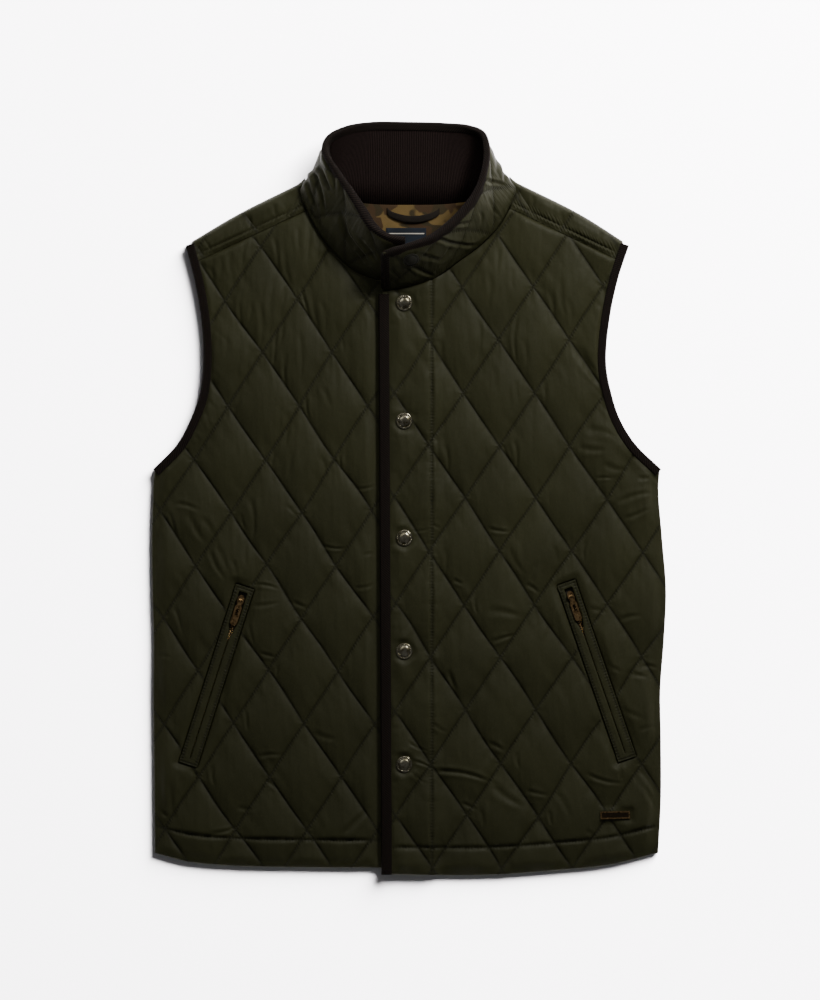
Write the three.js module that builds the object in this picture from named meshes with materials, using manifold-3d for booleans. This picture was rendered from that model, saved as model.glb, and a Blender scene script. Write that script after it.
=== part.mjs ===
// A sleeveless quilted vest with a stand collar, laid on its back on a flat surface, in millimetres.
// +X is to the viewer's right, which is the wearer's left, +Y is towards the collar and +Z is up.
// The back lies on the surface, the wearer's right front lies on the back, and the left front laps over it.
// The origin is the middle of the underside's bounding box.
import * as THREE from "three";
import { mergeVertices } from "three/addons/utils/BufferGeometryUtils.js";
import Module from "manifold-3d";

const wasm = await Module();
wasm.setup();

// Cloth and gaps
const GAP = 0.3; // between neighbouring pieces
const BACK_CLOTH = 4.2; // the back's padded wall, pressed by what lies on it
const STITCH_CLOTH = 1.8; // a padded wall where it is quilted down
const SEAM_CLOTH = 1.3; // the same under a hem's or a placket's stitching
const PUFF_CLOTH = 6.4; // a front's padded wall at the middle of a diamond
const UNDERLAP_CLOTH = 3.0; // the right front under the left one
const FRONT_FLOOR = BACK_CLOTH + GAP; // height of a front's inner face
const LAP_FLOOR = FRONT_FLOOR + UNDERLAP_CLOTH + GAP; // the same for the left front over the right one

// Quilting: diamonds between two families of stitch lines
const DIAMOND = { halfWidth: 37, halfHeight: 55.5 };
const DIAMOND_STEPS = [0, 0.13, 0.5, 0.87]; // where a diamond's side is divided
const RIGHT_LATTICE = { x: -116.3, y: 97.6, lean: 0.02 };
const LEFT_LATTICE = { x: 94.5, y: 167.5, lean: 0.006 };
const SHOULDER_LATTICE = { x: 150, y: 268, lean: 0 };

// Sides of the body, as x at each height
const SIDE = [
  { y: -371, right: 261.5, left: -266.8 },
  { y: -315, right: 264.4, left: -267.2 },
  { y: -252, right: 264.4, left: -267.8 },
  { y: -200, right: 263.8, left: -268.3 },
  { y: -147, right: 267.6, left: -267.9 },
  { y: -95, right: 269.8, left: -269.3 },
  { y: -42, right: 265.8, left: -269.8 },
  { y: 10, right: 261.8, left: -268.4 },
  { y: 33, right: 263.2, left: -267.2 },
];
// Armholes, as the x of the binding's outer edge at each height
const ARMHOLE = [
  { y: 33, right: 263.2, left: -267.2 },
  { y: 58, right: 237.6, left: -243.3 },
  { y: 83, right: 221.9, left: -229.6 },
  { y: 108, right: 213.2, left: -220.2 },
  { y: 142, right: 206.9, left: -216.0 },
  { y: 186, right: 210.0, left: -217.7 },
  { y: 230, right: 219.0, left: -225.1 },
  { y: 267, right: 231.0, left: -234.5 },
];
// Half of the shoulder's front, by the share of its length from the arm to the neck
const SHOULDER_FOLD = [
  { rightX: 231.0, rightY: 267, leftX: -234.5, leftY: 267 },
  { rightX: 179.6, rightY: 299.5, leftX: -179.6, leftY: 299.5 },
  { rightX: 112.6, rightY: 333, leftX: -116.4, leftY: 331 },
];
const SHOULDER_SEAM = [
  { rightX: 221.5, rightY: 250, leftX: -229.5, leftY: 246.5 },
  { rightX: 106, rightY: 305.4, leftX: -108.2, leftY: 302.9 },
];
const NECK_SEAM_RIGHT_FRONT = [
  { x: -108.2, y: 302.9 },
  { x: -96, y: 280.4 },
  { x: -79.8, y: 257.8 },
  { x: -60.9, y: 241 },
  { x: -35.7, y: 230 },
  { x: -5, y: 224.5 },
];
const NECK_SEAM_LEFT_FRONT = [
  { x: -30.5, y: 218.6 },
  { x: -5, y: 222 },
  { x: 23, y: 231.5 },
  { x: 54.6, y: 251.5 },
  { x: 76.2, y: 266.9 },
  { x: 93.5, y: 284 },
  { x: 106, y: 305.4 },
];
const NECK_SEAM_BACK = [
  { x: 112.6, y: 333 },
  { x: 99, y: 322.5 },
  { x: 82, y: 315 },
  { x: 43, y: 308.7 },
  { x: 0, y: 307.5 },
  { x: -43, y: 308.7 },
  { x: -85, y: 315 },
  { x: -103, y: 322.5 },
  { x: -116.4, y: 331 },
];
const HEM_RIGHT_FRONT = [
  { x: -266.8, y: -371 },
  { x: -231.7, y: -380.1 },
  { x: -184.9, y: -384.4 },
  { x: -100, y: -386.2 },
  { x: 16.8, y: -386.6 },
];
const HEM_LEFT_FRONT = [
  { x: -27.5, y: -393.6 },
  { x: 83, y: -394 },
  { x: 158.6, y: -388.8 },
  { x: 211, y: -383.3 },
  { x: 261.5, y: -371 },
];
const HEM_BACK = [
  { x: -266.8, y: -371 },
  { x: -184.9, y: -381 },
  { x: 0, y: -385 },
  { x: 184.9, y: -381 },
  { x: 261.5, y: -371 },
];
// The right front's hidden edge
const UNDERLAP_X = 16.8;
// The left front's free edge
const LAP_EDGE = [
  { x: -27.5, y: -393.6 },
  { x: -30.5, y: 218.6 },
];
const PLACKET_LINE_X = 24; // stitching of the front band
const HEM_DEPTH = 29; // turned-up hem, to its stitching
// Where the left front's inside comes down beside the underlap
const LAP_STEP = { low: PLACKET_LINE_X - 3, high: PLACKET_LINE_X + 13 };
// Where the right front's padding gives way to the lap, and the region that the lap presses flat
const UNDERLAP = { full: -46, thin: -31.5, neckDrop: 6, margin: 2, right: 100, low: -500, high: 300 };
// How a row of stitches sinks into the padding
const STITCH_LINE = { width: 1, spread: 4.2, rise: 9 };
// The padding's dip round a snap
const SNAP_CUP = { reach: 6, rise: 4.5, height: 9 };
// Further out and higher than any piece of the vest, for cuts that go right through
const BEYOND = 600;
const OVER = 60;

// Corduroy bindings: a strip folded round an edge
const BINDING = {
  width: 11,
  height: 4.6,
  lip: 1.15,
  end: 1.5,
  round: 0.9,
  tipReach: 12,
  tipSpare: 2,
  tipRise: 0.2,
  topInset: 3,
};
const BACK_BINDING = { width: 11, height: BACK_CLOTH, lip: 0.95, end: 1.5, round: 0.8 };
const HEADROOM = 8; // padding cleared over a binding
const COLLAR_BINDING = {
  width: 9,
  height: 6.2,
  lip: 1.15,
  end: 1.5,
  round: 1.2,
  clear: 0.4,
  endRows: [0.06, 0.3, 0.6],
};

// Snaps
const SNAP = {
  radius: 8.6,
  rim: 1.0,
  ledge: 0.4,
  rise: 0.2,
  dome: 1.8,
  x: -5,
  ys: [206.3, 82.4, -40.4, -159.1, -277.8],
};
const SNAP_SEAT = LAP_FLOOR + 3.4;
const COLLAR_SNAP = { u: 0.047, v: 0.66, seat: 4 };

// Pockets: a two-lipped welt with a zip, leaning outwards towards the hem
const POCKETS = [
  { side: "right", x: -201.9, y: -184.8, lean: -17.8 },
  { side: "left", x: 196.9, y: -179.8, lean: 19.1 },
];
const WELT = {
  width: 20,
  length: 196,
  height: 4.6,
  floor: 2.5,
  bevel: 0.6,
  slitTop: 8.6,
  slitEnd: 1.4,
  slitInset: 6,
  slitEase: 0.4,
  slitBelow: 16,
  slitFull: 0.55,
};
const ZIP = { tapeWidth: 15, tape: 0.7, chainWidth: 4.6, chain: 1.5, length: 188, taper: 0.7, endInset: 2 };
const SLIDER = {
  length: 11,
  width: 6.6,
  height: 1.9,
  inset: 9,
  tail: 0.7,
  nose: 0.45,
  pin: 0.75,
  pinInset: 0.3,
  lugWidth: 1.2,
  lugLength: 3.8,
  lugWall: 0.6,
  lugRoot: 0.5,
};
const PULL = {
  length: 27,
  width: 7.2,
  neck: 3.7,
  neckLength: 3,
  flare: 2.5,
  corner: 1.5,
  thickness: 1.5,
  eye: 1.05,
  eyeWall: 0.75,
  window: { width: 3, length: 7, below: 4.5 },
};
const WELT_Z = FRONT_FLOOR + WELT.height;
const SLIDER_Y = WELT.length / 2 - WELT.slitInset - SLIDER.inset;
const SLIDER_Z = FRONT_FLOOR + ZIP.tape + ZIP.chain + GAP;
const KNUCKLE = PULL.eye + PULL.eyeWall;
const PIN_Z = SLIDER_Z + SLIDER.height + GAP + KNUCKLE;

const PLATE = {
  x: 216.3,
  y: -331,
  length: 31,
  width: 8,
  height: 1.6,
  rim: 1.2,
  recess: 0.5,
  turn: 1.5,
  seat: 3.6,
  clear: 2,
};

// Inside the neck
const LINING = { thickness: 0.8, gap: 2.5, seam: 1, reach: 90, centre: { x: -1, y: 300 } };
const LINING_TOP = BACK_CLOTH + GAP + LINING.thickness;
const LABEL = { x: -3, y: 274, length: 42, width: 22, thickness: 0.5 };
const LOOP = { left: -23, right: 32, y: 303, drop: 9, fullness: 0.6, stand: 2.2, width: 7, thickness: 1.0 };

// The collar, section by section from the lapping end round the neck to the end underneath: the neck seam, the
// waist of the wall and its top edge. The height is that of the joint between the quilted shell and the facing.
const COLLAR_SECTIONS = [
  { seam: [-27.5, 220.2, 11.6], waist: [-27.5, 233.2, 27], top: [-27.5, 258, 53] },
  { seam: [1, 225, 11.4], waist: [1, 238.5, 28], top: [3, 266.5, 55] },
  { seam: [26, 233.4, 10.4], waist: [25, 247.5, 27.5], top: [26, 274.8, 55] },
  { seam: [53.4, 252.6, 9], waist: [50.5, 266.5, 26], top: [47, 290, 53] },
  { seam: [74.6, 268.2, 8.6], waist: [69.5, 283, 24.5], top: [62, 307, 50] },
  { seam: [91.6, 285, 8.4], waist: [83.5, 300, 23], top: [72.5, 325, 46] },
  { seam: [104, 306, 8.2], waist: [92.5, 320, 21], top: [79, 347, 40.5] },
  { seam: [110.5, 326.5, 7.2], waist: [96.5, 341, 17.5], top: [81, 368, 34] },
  { seam: [100.5, 326, 4.2], waist: [89.5, 350.5, 11], top: [77, 383, 26.5] },
  { seam: [82.5, 315.6, 3.1], waist: [73, 348.5, 8], top: [62.5, 390.2, 18.5] },
  { seam: [43, 309.2, 2.9], waist: [41, 346.5, 6.4], top: [39, 393, 12] },
  { seam: [0, 308, 2.9], waist: [0, 346, 6.2], top: [0, 394.2, 10.4] },
  { seam: [-43, 309.2, 2.9], waist: [-43, 346.5, 6.4], top: [-41, 394, 12] },
  { seam: [-84, 315.6, 3.1], waist: [-75.5, 348.5, 8], top: [-66.5, 389, 18.5] },
  { seam: [-104, 325.5, 4.2], waist: [-93, 350, 11.5], top: [-84.5, 378.5, 26.5] },
  { seam: [-112.6, 324, 7.2], waist: [-98.5, 343.5, 18], top: [-88.6, 364.5, 34] },
  { seam: [-106.2, 302.4, 8.2], waist: [-91.5, 321.5, 22], top: [-74.5, 342, 41] },
  { seam: [-94.2, 279.6, 8.4], waist: [-79, 300.5, 24], top: [-62, 322, 46] },
  { seam: [-77.8, 258.6, 8.4], waist: [-64.5, 279, 26], top: [-50.5, 303, 50] },
  { seam: [-59.4, 242.6, 8.4], waist: [-50, 262.5, 27], top: [-40, 287.5, 51.5] },
  { seam: [-35, 232.2, 8.6], waist: [-31, 250, 26.5], top: [-24, 276, 50.5] },
  { seam: [-5.6, 228.6, 8.4], waist: [-5, 244.8, 24.4], top: [-4, 272, 49] },
];
const COLLAR = {
  facing: 1.5,
  shellMin: 1.9,
  shellMax: 4.4,
  columns: 36,
  rows: 4,
  diamonds: 9,
  waistShare: 0.3,
  cornerRound: 0.12,
  cornerReach: 0.022,
  border: { seam: 0.16, top: 0.2, end: 0.03 },
};

const MATERIALS = {
  quilt: new THREE.MeshStandardMaterial({ color: 0x2c2c20, roughness: 0.55, metalness: 0 }),
  corduroy: new THREE.MeshStandardMaterial({ color: 0x1d1412, roughness: 0.95, metalness: 0 }),
  lining: new THREE.MeshStandardMaterial({ color: 0x5a4426, roughness: 0.7, metalness: 0 }),
  label: new THREE.MeshStandardMaterial({ color: 0x232a33, roughness: 0.8, metalness: 0 }),
  strap: new THREE.MeshStandardMaterial({ color: 0x1a1714, roughness: 0.8, metalness: 0 }),
  snap: new THREE.MeshStandardMaterial({ color: 0x3d3826, roughness: 0.3, metalness: 0.9 }),
  zip: new THREE.MeshStandardMaterial({ color: 0x25241b, roughness: 0.7, metalness: 0.2 }),
  brass: new THREE.MeshStandardMaterial({ color: 0x6b5436, roughness: 0.35, metalness: 0.9 }),
};

const mix = (a, b, t) => a + (b - a) * t;
const ease = (t) => {
  const s = Math.min(1, Math.max(0, t));
  return s * s * (3 - 2 * s);
};

// Solids and geometries

function solidOf(geometry) {
  const bare = geometry.clone();
  bare.deleteAttribute("normal");
  bare.deleteAttribute("uv");
  const merged = mergeVertices(bare, 1e-4);
  return new wasm.Manifold(
    new wasm.Mesh({
      numProp: 3,
      vertProperties: new Float32Array(merged.attributes.position.array),
      triVerts: new Uint32Array(merged.index.array),
    }),
  );
}

function geometryOf(solid) {
  const mesh = solid.getMesh();
  const geometry = new THREE.BufferGeometry();
  geometry.setAttribute("position", new THREE.BufferAttribute(new Float32Array(mesh.vertProperties), 3));
  geometry.setIndex(new THREE.BufferAttribute(new Uint32Array(mesh.triVerts), 1));
  return geometry;
}

// A closed geometry from vertices and faces, turned to face outwards.
function closedGeometry(vertices, faces) {
  const corner = (i) => new THREE.Vector3(...vertices[i]);
  let volume = 0;
  for (const [a, b, c] of faces) volume += corner(a).dot(corner(b).cross(corner(c)));
  const facing = volume < 0 ? faces.map(([a, b, c]) => [a, c, b]) : faces;
  const geometry = new THREE.BufferGeometry();
  geometry.setAttribute("position", new THREE.BufferAttribute(new Float32Array(vertices.flat()), 3));
  geometry.setIndex(facing.flat());
  return geometry;
}

// The largest body of a solid, which leaves out crumbs of a cut.
function largest(solid) {
  const bodies = solid.decompose();
  return bodies.reduce((best, body) => (body.volume() > best.volume() ? body : best));
}

function prism(points, low, high) {
  const shape = new THREE.Shape(points.map((p) => new THREE.Vector2(p.x, p.y)));
  const geometry = new THREE.ExtrudeGeometry(shape, { depth: high - low, bevelEnabled: false });
  return solidOf(geometry.translate(0, 0, low));
}

// Curves of the outline

function curve(rows, divisions) {
  const points = rows.map((r) => new THREE.Vector3(r.x, r.y, 0));
  return new THREE.CatmullRomCurve3(points, false, "centripetal").getPoints(divisions);
}

const column = (table, side) => table.map((r) => ({ x: r[side], y: r.y }));
const fold = (table, side) => table.map((r) => ({ x: r[side + "X"], y: r[side + "Y"] }));

const edges = {};
for (const side of ["right", "left"]) {
  edges[side] = {
    side: curve(column(SIDE, side), 14),
    armhole: curve(column(ARMHOLE, side), 14),
    shoulderFold: curve(fold(SHOULDER_FOLD, side), 3),
    shoulderSeam: curve(fold(SHOULDER_SEAM, side), 2),
  };
}
const neckRightFront = curve(NECK_SEAM_RIGHT_FRONT, 10);
const neckLeftFront = curve(NECK_SEAM_LEFT_FRONT, 12);
const neckBack = curve(NECK_SEAM_BACK, 16);
const hemRightFront = curve(HEM_RIGHT_FRONT, 9);
const hemLeftFront = curve(HEM_LEFT_FRONT, 9);

// The armhole's points up to the shoulder seam, which ends on it.
function armholeToSeam(side) {
  const seam = edges[side].shoulderSeam[0];
  return [...edges[side].armhole.filter((p) => p.y < seam.y - 3), seam];
}

function distanceTo(line, x, y) {
  let best = Infinity;
  for (let i = 1; i < line.length; i++) {
    const a = line[i - 1];
    const dx = line[i].x - a.x;
    const dy = line[i].y - a.y;
    const t = Math.min(1, Math.max(0, ((x - a.x) * dx + (y - a.y) * dy) / (dx * dx + dy * dy)));
    best = Math.min(best, Math.hypot(x - a.x - t * dx, y - a.y - t * dy));
  }
  return best;
}

// Quilting

// A point's place in the lattice: whole numbers lie on the two families of stitch lines.
function latticePlace(lattice, x, y) {
  const across = (x - lattice.x + lattice.lean * (y - lattice.y)) / DIAMOND.halfWidth;
  const along = (y - lattice.y) / DIAMOND.halfHeight;
  return { i: (across + along) / 2, j: (across - along) / 2 };
}

function latticePoint(lattice, i, j) {
  const y = lattice.y + (i - j) * DIAMOND.halfHeight;
  return { x: lattice.x + (i + j) * DIAMOND.halfWidth - lattice.lean * (y - lattice.y), y };
}

// From 0 on a stitch line to 1 in the middle between two of them.
function puff(place) {
  const share = place - Math.floor(place);
  return Math.pow(Math.sin(Math.PI * share), 0.5);
}

// A flat slab over a lattice, with its inside at z 0 and its outside at 1. A slight relief keeps the triangles
// of the outside.
function latticeSlab(lattice, outline) {
  const relief = 0.3;
  const places = outline.map((p) => latticePlace(lattice, p.x, p.y));
  const steps = (key) => {
    const values = places.map((p) => p[key]);
    const [low, high] = [Math.floor(Math.min(...values)), Math.ceil(Math.max(...values))];
    const all = [];
    for (let n = low; n < high; n++) all.push(...DIAMOND_STEPS.map((s) => n + s));
    return [...all, high];
  };
  const [is, js] = [steps("i"), steps("j")];
  const vertices = [];
  for (const i of is) {
    for (const j of js) {
      const { x, y } = latticePoint(lattice, i, j);
      vertices.push([x, y, 1 + relief * puff(i) * puff(j)]);
    }
  }
  const at = (a, b) => a * js.length + b;
  const faces = [];
  for (let a = 0; a + 1 < is.length; a++) {
    for (let b = 0; b + 1 < js.length; b++) {
      const [p, q, r, t] = [at(a, b), at(a + 1, b), at(a + 1, b + 1), at(a, b + 1)];
      faces.push([p, q, r], [p, r, t]);
    }
  }
  const rim = [];
  for (let a = 0; a + 1 < is.length; a++) rim.push(at(a, 0));
  for (let b = 0; b + 1 < js.length; b++) rim.push(at(is.length - 1, b));
  for (let a = is.length - 1; a > 0; a--) rim.push(at(a, js.length - 1));
  for (let b = js.length - 1; b > 0; b--) rim.push(at(0, b));
  const below = vertices.length;
  for (const p of rim) vertices.push([vertices[p][0], vertices[p][1], 0]);
  const hub = vertices.length;
  const [first, last] = [vertices[0], vertices[below - 1]];
  vertices.push([(first[0] + last[0]) / 2, (first[1] + last[1]) / 2, 0]);
  rim.forEach((p, n) => {
    const next = (n + 1) % rim.length;
    const [low, lowNext] = [below + n, below + next];
    faces.push([p, low, rim[next]], [rim[next], low, lowNext], [low, hub, lowNext]);
  });
  return solidOf(closedGeometry(vertices, faces));
}

// A quilted panel: the slab cut to its outline, with its plain inside at the front's floor and its outside
// raised by lift(x, y) and the cloth's thickness. Each of its borders gives a line, the cloth's thickness on it
// and how far in that reaches.
function quiltedPanel({ outline, lattice, windows = [], borders, lift = () => 0, cover = () => 1 }) {
  let flat = latticeSlab(lattice, outline).intersect(prism(outline, -OVER, OVER));
  for (const window of windows) flat = flat.subtract(prism(window, -OVER, OVER));
  const thickness = (x, y) => {
    const { i, j } = latticePlace(lattice, x, y);
    const free = STITCH_CLOTH + (PUFF_CLOTH - STITCH_CLOTH) * puff(i) * puff(j) * cover(x, y);
    return borders.reduce((t, b) => mix(b.cloth, t, ease(distanceTo(b.line, x, y) / b.reach)), free);
  };
  const geometry = geometryOf(flat);
  const position = geometry.attributes.position;
  for (let n = 0; n < position.count; n++) {
    const [x, y] = [position.getX(n), position.getY(n)];
    const outside = position.getZ(n) > 0.5;
    position.setZ(n, FRONT_FLOOR + (outside ? lift(x, y) + thickness(x, y) : 0));
  }
  return solidOf(geometry);
}

// Sweeps

// A closed sweep of a section through stations, each with its place and the section's two directions.
function sweep(stations, section) {
  const vertices = [];
  for (const s of stations) {
    for (const [a, n] of section) {
      vertices.push(s.at.clone().addScaledVector(s.out, a).addScaledVector(s.up, n).toArray());
    }
  }
  const size = section.length;
  const faces = [];
  for (let k = 0; k + 1 < stations.length; k++) {
    for (let m = 0; m < size; m++) {
      const [p, q] = [k * size + m, k * size + ((m + 1) % size)];
      faces.push([p, q, q + size], [p, q + size, p + size]);
    }
  }
  const caps = THREE.ShapeUtils.triangulateShape(section.map(([a, n]) => new THREE.Vector2(a, n)), []);
  const last = (stations.length - 1) * size;
  for (const [a, b, c] of caps) faces.push([a, c, b], [last + a, last + b, last + c]);
  return solidOf(closedGeometry(vertices, faces));
}

// The folded strip's section, with its open side inwards. Growing it leaves room round it, and headroom clears
// the padding over it.
function bindingSection({ width, height, lip, end, round }, grow = 0, headroom = 0) {
  const [out, top, bottom] = [grow, height + grow + headroom, -grow];
  const inner = -width - grow;
  return [
    [inner, bottom],
    [out - round, bottom],
    [out, bottom + round],
    [out, top - round],
    [out - round, top],
    [inner, top],
    [inner, height - lip - grow],
    [-end - grow, height - lip - grow],
    [-end - grow, lip + grow],
    [inner, lip + grow],
  ];
}

// Stations along a level line, whose height(x) may vary. The section looks to the line's left or, with side -1,
// to its right.
function stationsAlong(line, height, side, extend = 0) {
  const points = line.map((p) => new THREE.Vector3(p.x, p.y, height(p.x)));
  const heads = points.map((p, n) => {
    const [a, b] = [points[Math.max(0, n - 1)], points[Math.min(points.length - 1, n + 1)]];
    return b.clone().sub(a).normalize();
  });
  const last = points.length - 1;
  if (extend) {
    points[0].addScaledVector(heads[0], -extend);
    points[last].addScaledVector(heads[last], extend);
  }
  const up = new THREE.Vector3(0, 0, 1);
  return points.map((at, n) => ({ at, out: up.clone().cross(heads[n]).multiplyScalar(side), up }));
}

const level = (z) => () => z;

// A wedge that sinks a stitch line into a panel whose inside is raised by lift(x).
function stitchWedge(line, lift) {
  const { width, spread, rise } = STITCH_LINE;
  const bottom = (x) => FRONT_FLOOR + lift(x) + SEAM_CLOTH;
  return sweep(stationsAlong(line, bottom, 1, 1), [
    [-width / 2, 0],
    [width / 2, 0],
    [spread, rise],
    [-spread, rise],
  ]);
}

// A cup that presses the padding down to a flat seat under a snap.
function seatCup(radius, x, y, z) {
  const profile = [
    new THREE.Vector2(0, 0),
    new THREE.Vector2(radius + GAP, 0),
    new THREE.Vector2(radius + SNAP_CUP.reach, SNAP_CUP.rise),
    new THREE.Vector2(radius + SNAP_CUP.reach, SNAP_CUP.height),
    new THREE.Vector2(0, SNAP_CUP.height),
  ];
  const cup = new THREE.LatheGeometry(profile, 16).rotateX(Math.PI / 2);
  return solidOf(closedGeometry(...listed(cup))).translate([x, y, z]);
}

// Vertices and faces of a geometry, merged.
function listed(geometry) {
  const bare = geometry.clone();
  bare.deleteAttribute("normal");
  bare.deleteAttribute("uv");
  const merged = mergeVertices(bare, 1e-4);
  const position = merged.attributes.position;
  const vertices = [];
  for (let n = 0; n < position.count; n++) {
    vertices.push([position.getX(n), position.getY(n), position.getZ(n)]);
  }
  const faces = [];
  for (let n = 0; n < merged.index.count; n += 3) {
    const face = [0, 1, 2].map((k) => merged.index.getX(n + k));
    if (new Set(face).size === 3) faces.push(face);
  }
  return [vertices, faces];
}

// Bindings

function armholeBinding(side, binding, z, grow = 0, headroom = 0) {
  const hand = side === "right" ? -1 : 1;
  const extend = BINDING.tipReach + (grow ? BINDING.tipSpare : 0);
  const stations = stationsAlong(edges[side].armhole, level(z), hand, extend);
  const strip = sweep(stations, bindingSection(binding, grow, headroom));
  const sideX = SIDE[SIDE.length - 1][side];
  const trimX = side === "right" ? [-BEYOND, sideX + grow] : [sideX - grow, BEYOND];
  const tip = edges[side].armhole[edges[side].armhole.length - 1];
  const inner = edges[side].shoulderFold[1];
  const slope = (inner.y - tip.y) / (inner.x - tip.x);
  const topAt = (x) => tip.y + slope * (x - tip.x) + grow + BINDING.tipRise;
  const trim = [
    { x: trimX[0], y: -BEYOND },
    { x: trimX[1], y: -BEYOND },
    { x: trimX[1], y: topAt(trimX[1]) },
    { x: trimX[0], y: topAt(trimX[0]) },
  ];
  return largest(strip.intersect(prism(trim, -OVER, OVER)));
}

// The collar

// A point of the collar's joint surface and its directions: u runs round the neck and v up the wall.
const collarCurves = ["seam", "waist", "top"].map((key) => {
  const points = COLLAR_SECTIONS.map((s) => new THREE.Vector3(...s[key]));
  return new THREE.CatmullRomCurve3(points, false, "centripetal");
});

function collarPoint(u, v) {
  const [seam, waist, top] = collarCurves.map((c) => c.getPoint(u));
  const s = COLLAR.waistShare;
  const seamPart = ((v - s) * (v - 1)) / s;
  const waistPart = (v * (v - 1)) / (s * (s - 1));
  const topPart = (v * (v - s)) / (1 - s);
  return new THREE.Vector3()
    .addScaledVector(seam, seamPart)
    .addScaledVector(waist, waistPart)
    .addScaledVector(top, topPart);
}

function collarFrame(u, v) {
  const step = 0.004;
  const at = collarPoint(u, v);
  const [before, after] = [Math.max(0, u - step), Math.min(1, u + step)];
  const along = collarPoint(after, v).sub(collarPoint(before, v)).normalize();
  const up = collarPoint(u, v + step).sub(collarPoint(u, v - step)).normalize();
  const out = along.clone().cross(up).normalize();
  return { at, along, up, out };
}

// The collar's wall between two offsets from the joint surface, each a function of u and v.
function collarWall(inner, outer) {
  const vertices = [];
  for (const offset of [inner, outer]) {
    for (let c = 0; c <= COLLAR.columns; c++) {
      for (let r = 0; r <= COLLAR.rows; r++) {
        const [u, v] = [c / COLLAR.columns, r / COLLAR.rows];
        const frame = collarFrame(u, v);
        vertices.push(frame.at.addScaledVector(frame.out, offset(u, v)).toArray());
      }
    }
  }
  const rows = COLLAR.rows + 1;
  const half = rows * (COLLAR.columns + 1);
  const faces = [];
  for (let c = 0; c < COLLAR.columns; c++) {
    for (let r = 0; r < COLLAR.rows; r++) {
      const [p, q, s, t] = [c * rows + r, (c + 1) * rows + r, (c + 1) * rows + r + 1, c * rows + r + 1];
      const rising = (c + r) % 2 === 0;
      const pair = rising ? [[p, q, s], [p, s, t]] : [[p, q, t], [q, s, t]];
      for (const [a, b, d] of pair) faces.push([a, b, d], [half + a, half + d, half + b]);
    }
  }
  const rim = [];
  for (let c = 0; c < COLLAR.columns; c++) rim.push(c * rows);
  for (let r = 0; r < COLLAR.rows; r++) rim.push(COLLAR.columns * rows + r);
  for (let c = COLLAR.columns; c > 0; c--) rim.push(c * rows + COLLAR.rows);
  for (let r = COLLAR.rows; r > 0; r--) rim.push(r);
  rim.forEach((p, n) => {
    const q = rim[(n + 1) % rim.length];
    faces.push([p, half + p, q], [q, half + p, half + q]);
  });
  return solidOf(closedGeometry(vertices, faces));
}

// The shell's padding, quilted in diamonds that are as high as the wall.
function shellThickness(u, v) {
  const across = 2 * COLLAR.diamonds * u;
  const along = 2 * v;
  const pillow = puff((across + along) / 2) * puff((across - along) / 2);
  const free = mix(COLLAR.shellMin, COLLAR.shellMax, pillow);
  const { seam, top, end } = COLLAR.border;
  const borders = ease(v / seam) * ease((1 - v) / top) * ease(u / end) * ease((1 - u) / end);
  return mix(COLLAR.shellMin, free, borders);
}

function lapEdgeX(y) {
  const [low, high] = LAP_EDGE;
  return mix(low.x, high.x, (y - low.y) / (high.y - low.y));
}

// Stations of the binding up the left front's free edge.
function edgeBindingStations(grow) {
  const stations = [];
  const [bottom, top] = [LAP_EDGE[0].y - grow, LAP_EDGE[1].y - BINDING.topInset];
  const rows = 8;
  for (let k = 0; k <= rows; k++) {
    const y = mix(bottom, top, k / rows);
    stations.push({
      at: new THREE.Vector3(lapEdgeX(y) - BINDING.end, y, LAP_FLOOR),
      out: new THREE.Vector3(-1, 0, 0),
      up: new THREE.Vector3(0, 0, 1),
    });
  }
  return stations;
}

// Stations of the collar's binding: up the lapping end, round its corner and along the top edge.
function collarBindingStations(grow) {
  const middle = COLLAR_BINDING.height / 2;
  const shift = (COLLAR.shellMin - COLLAR.facing) / 2;
  const stations = [];
  const place = (u, v, turn) => {
    const f = collarFrame(u, v);
    const out = f.up.clone().multiplyScalar(Math.sin(turn));
    out.addScaledVector(f.along, -Math.cos(turn)).normalize();
    const at = f.at.clone().addScaledVector(out, COLLAR_BINDING.end + COLLAR_BINDING.clear);
    at.addScaledVector(f.out, shift - middle);
    stations.push({ at, out, up: f.out });
  };
  const corner = 5;
  const { cornerRound, cornerReach, columns } = COLLAR;
  for (const v of COLLAR_BINDING.endRows) place(0, v, 0);
  for (let k = 0; k <= corner; k++) {
    const turn = (k / corner) * (Math.PI / 2);
    place(cornerReach * (1 - Math.cos(turn)), 1 - cornerRound * (1 - Math.sin(turn)), turn);
  }
  for (let k = 1; k <= columns; k++) place(mix(cornerReach, 1, k / columns), 1, Math.PI / 2);
  if (grow) {
    const beyond = ({ at, out, up }, heading, reach) => ({
      at: at.clone().addScaledVector(heading, reach),
      out,
      up,
    });
    stations.push(beyond(stations[stations.length - 1], collarFrame(1, 1).along, 2));
    stations.unshift(beyond(stations[0], collarFrame(0, 0).up, -4));
  }
  return stations;
}

// Pockets

// A pocket's own frame: x across the welt, y along it towards the shoulder, z up from the surface.
function pocketMatrix(pocket) {
  return new THREE.Matrix4()
    .makeRotationZ(THREE.MathUtils.degToRad(pocket.lean))
    .setPosition(pocket.x, pocket.y, 0);
}

function inPocket(pocket, points) {
  const matrix = pocketMatrix(pocket);
  return points.map((p) => new THREE.Vector3(p.x, p.y, 0).applyMatrix4(matrix));
}

const rectangle = (width, length) => [
  { x: -width / 2, y: -length / 2 },
  { x: width / 2, y: -length / 2 },
  { x: width / 2, y: length / 2 },
  { x: -width / 2, y: length / 2 },
];

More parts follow.
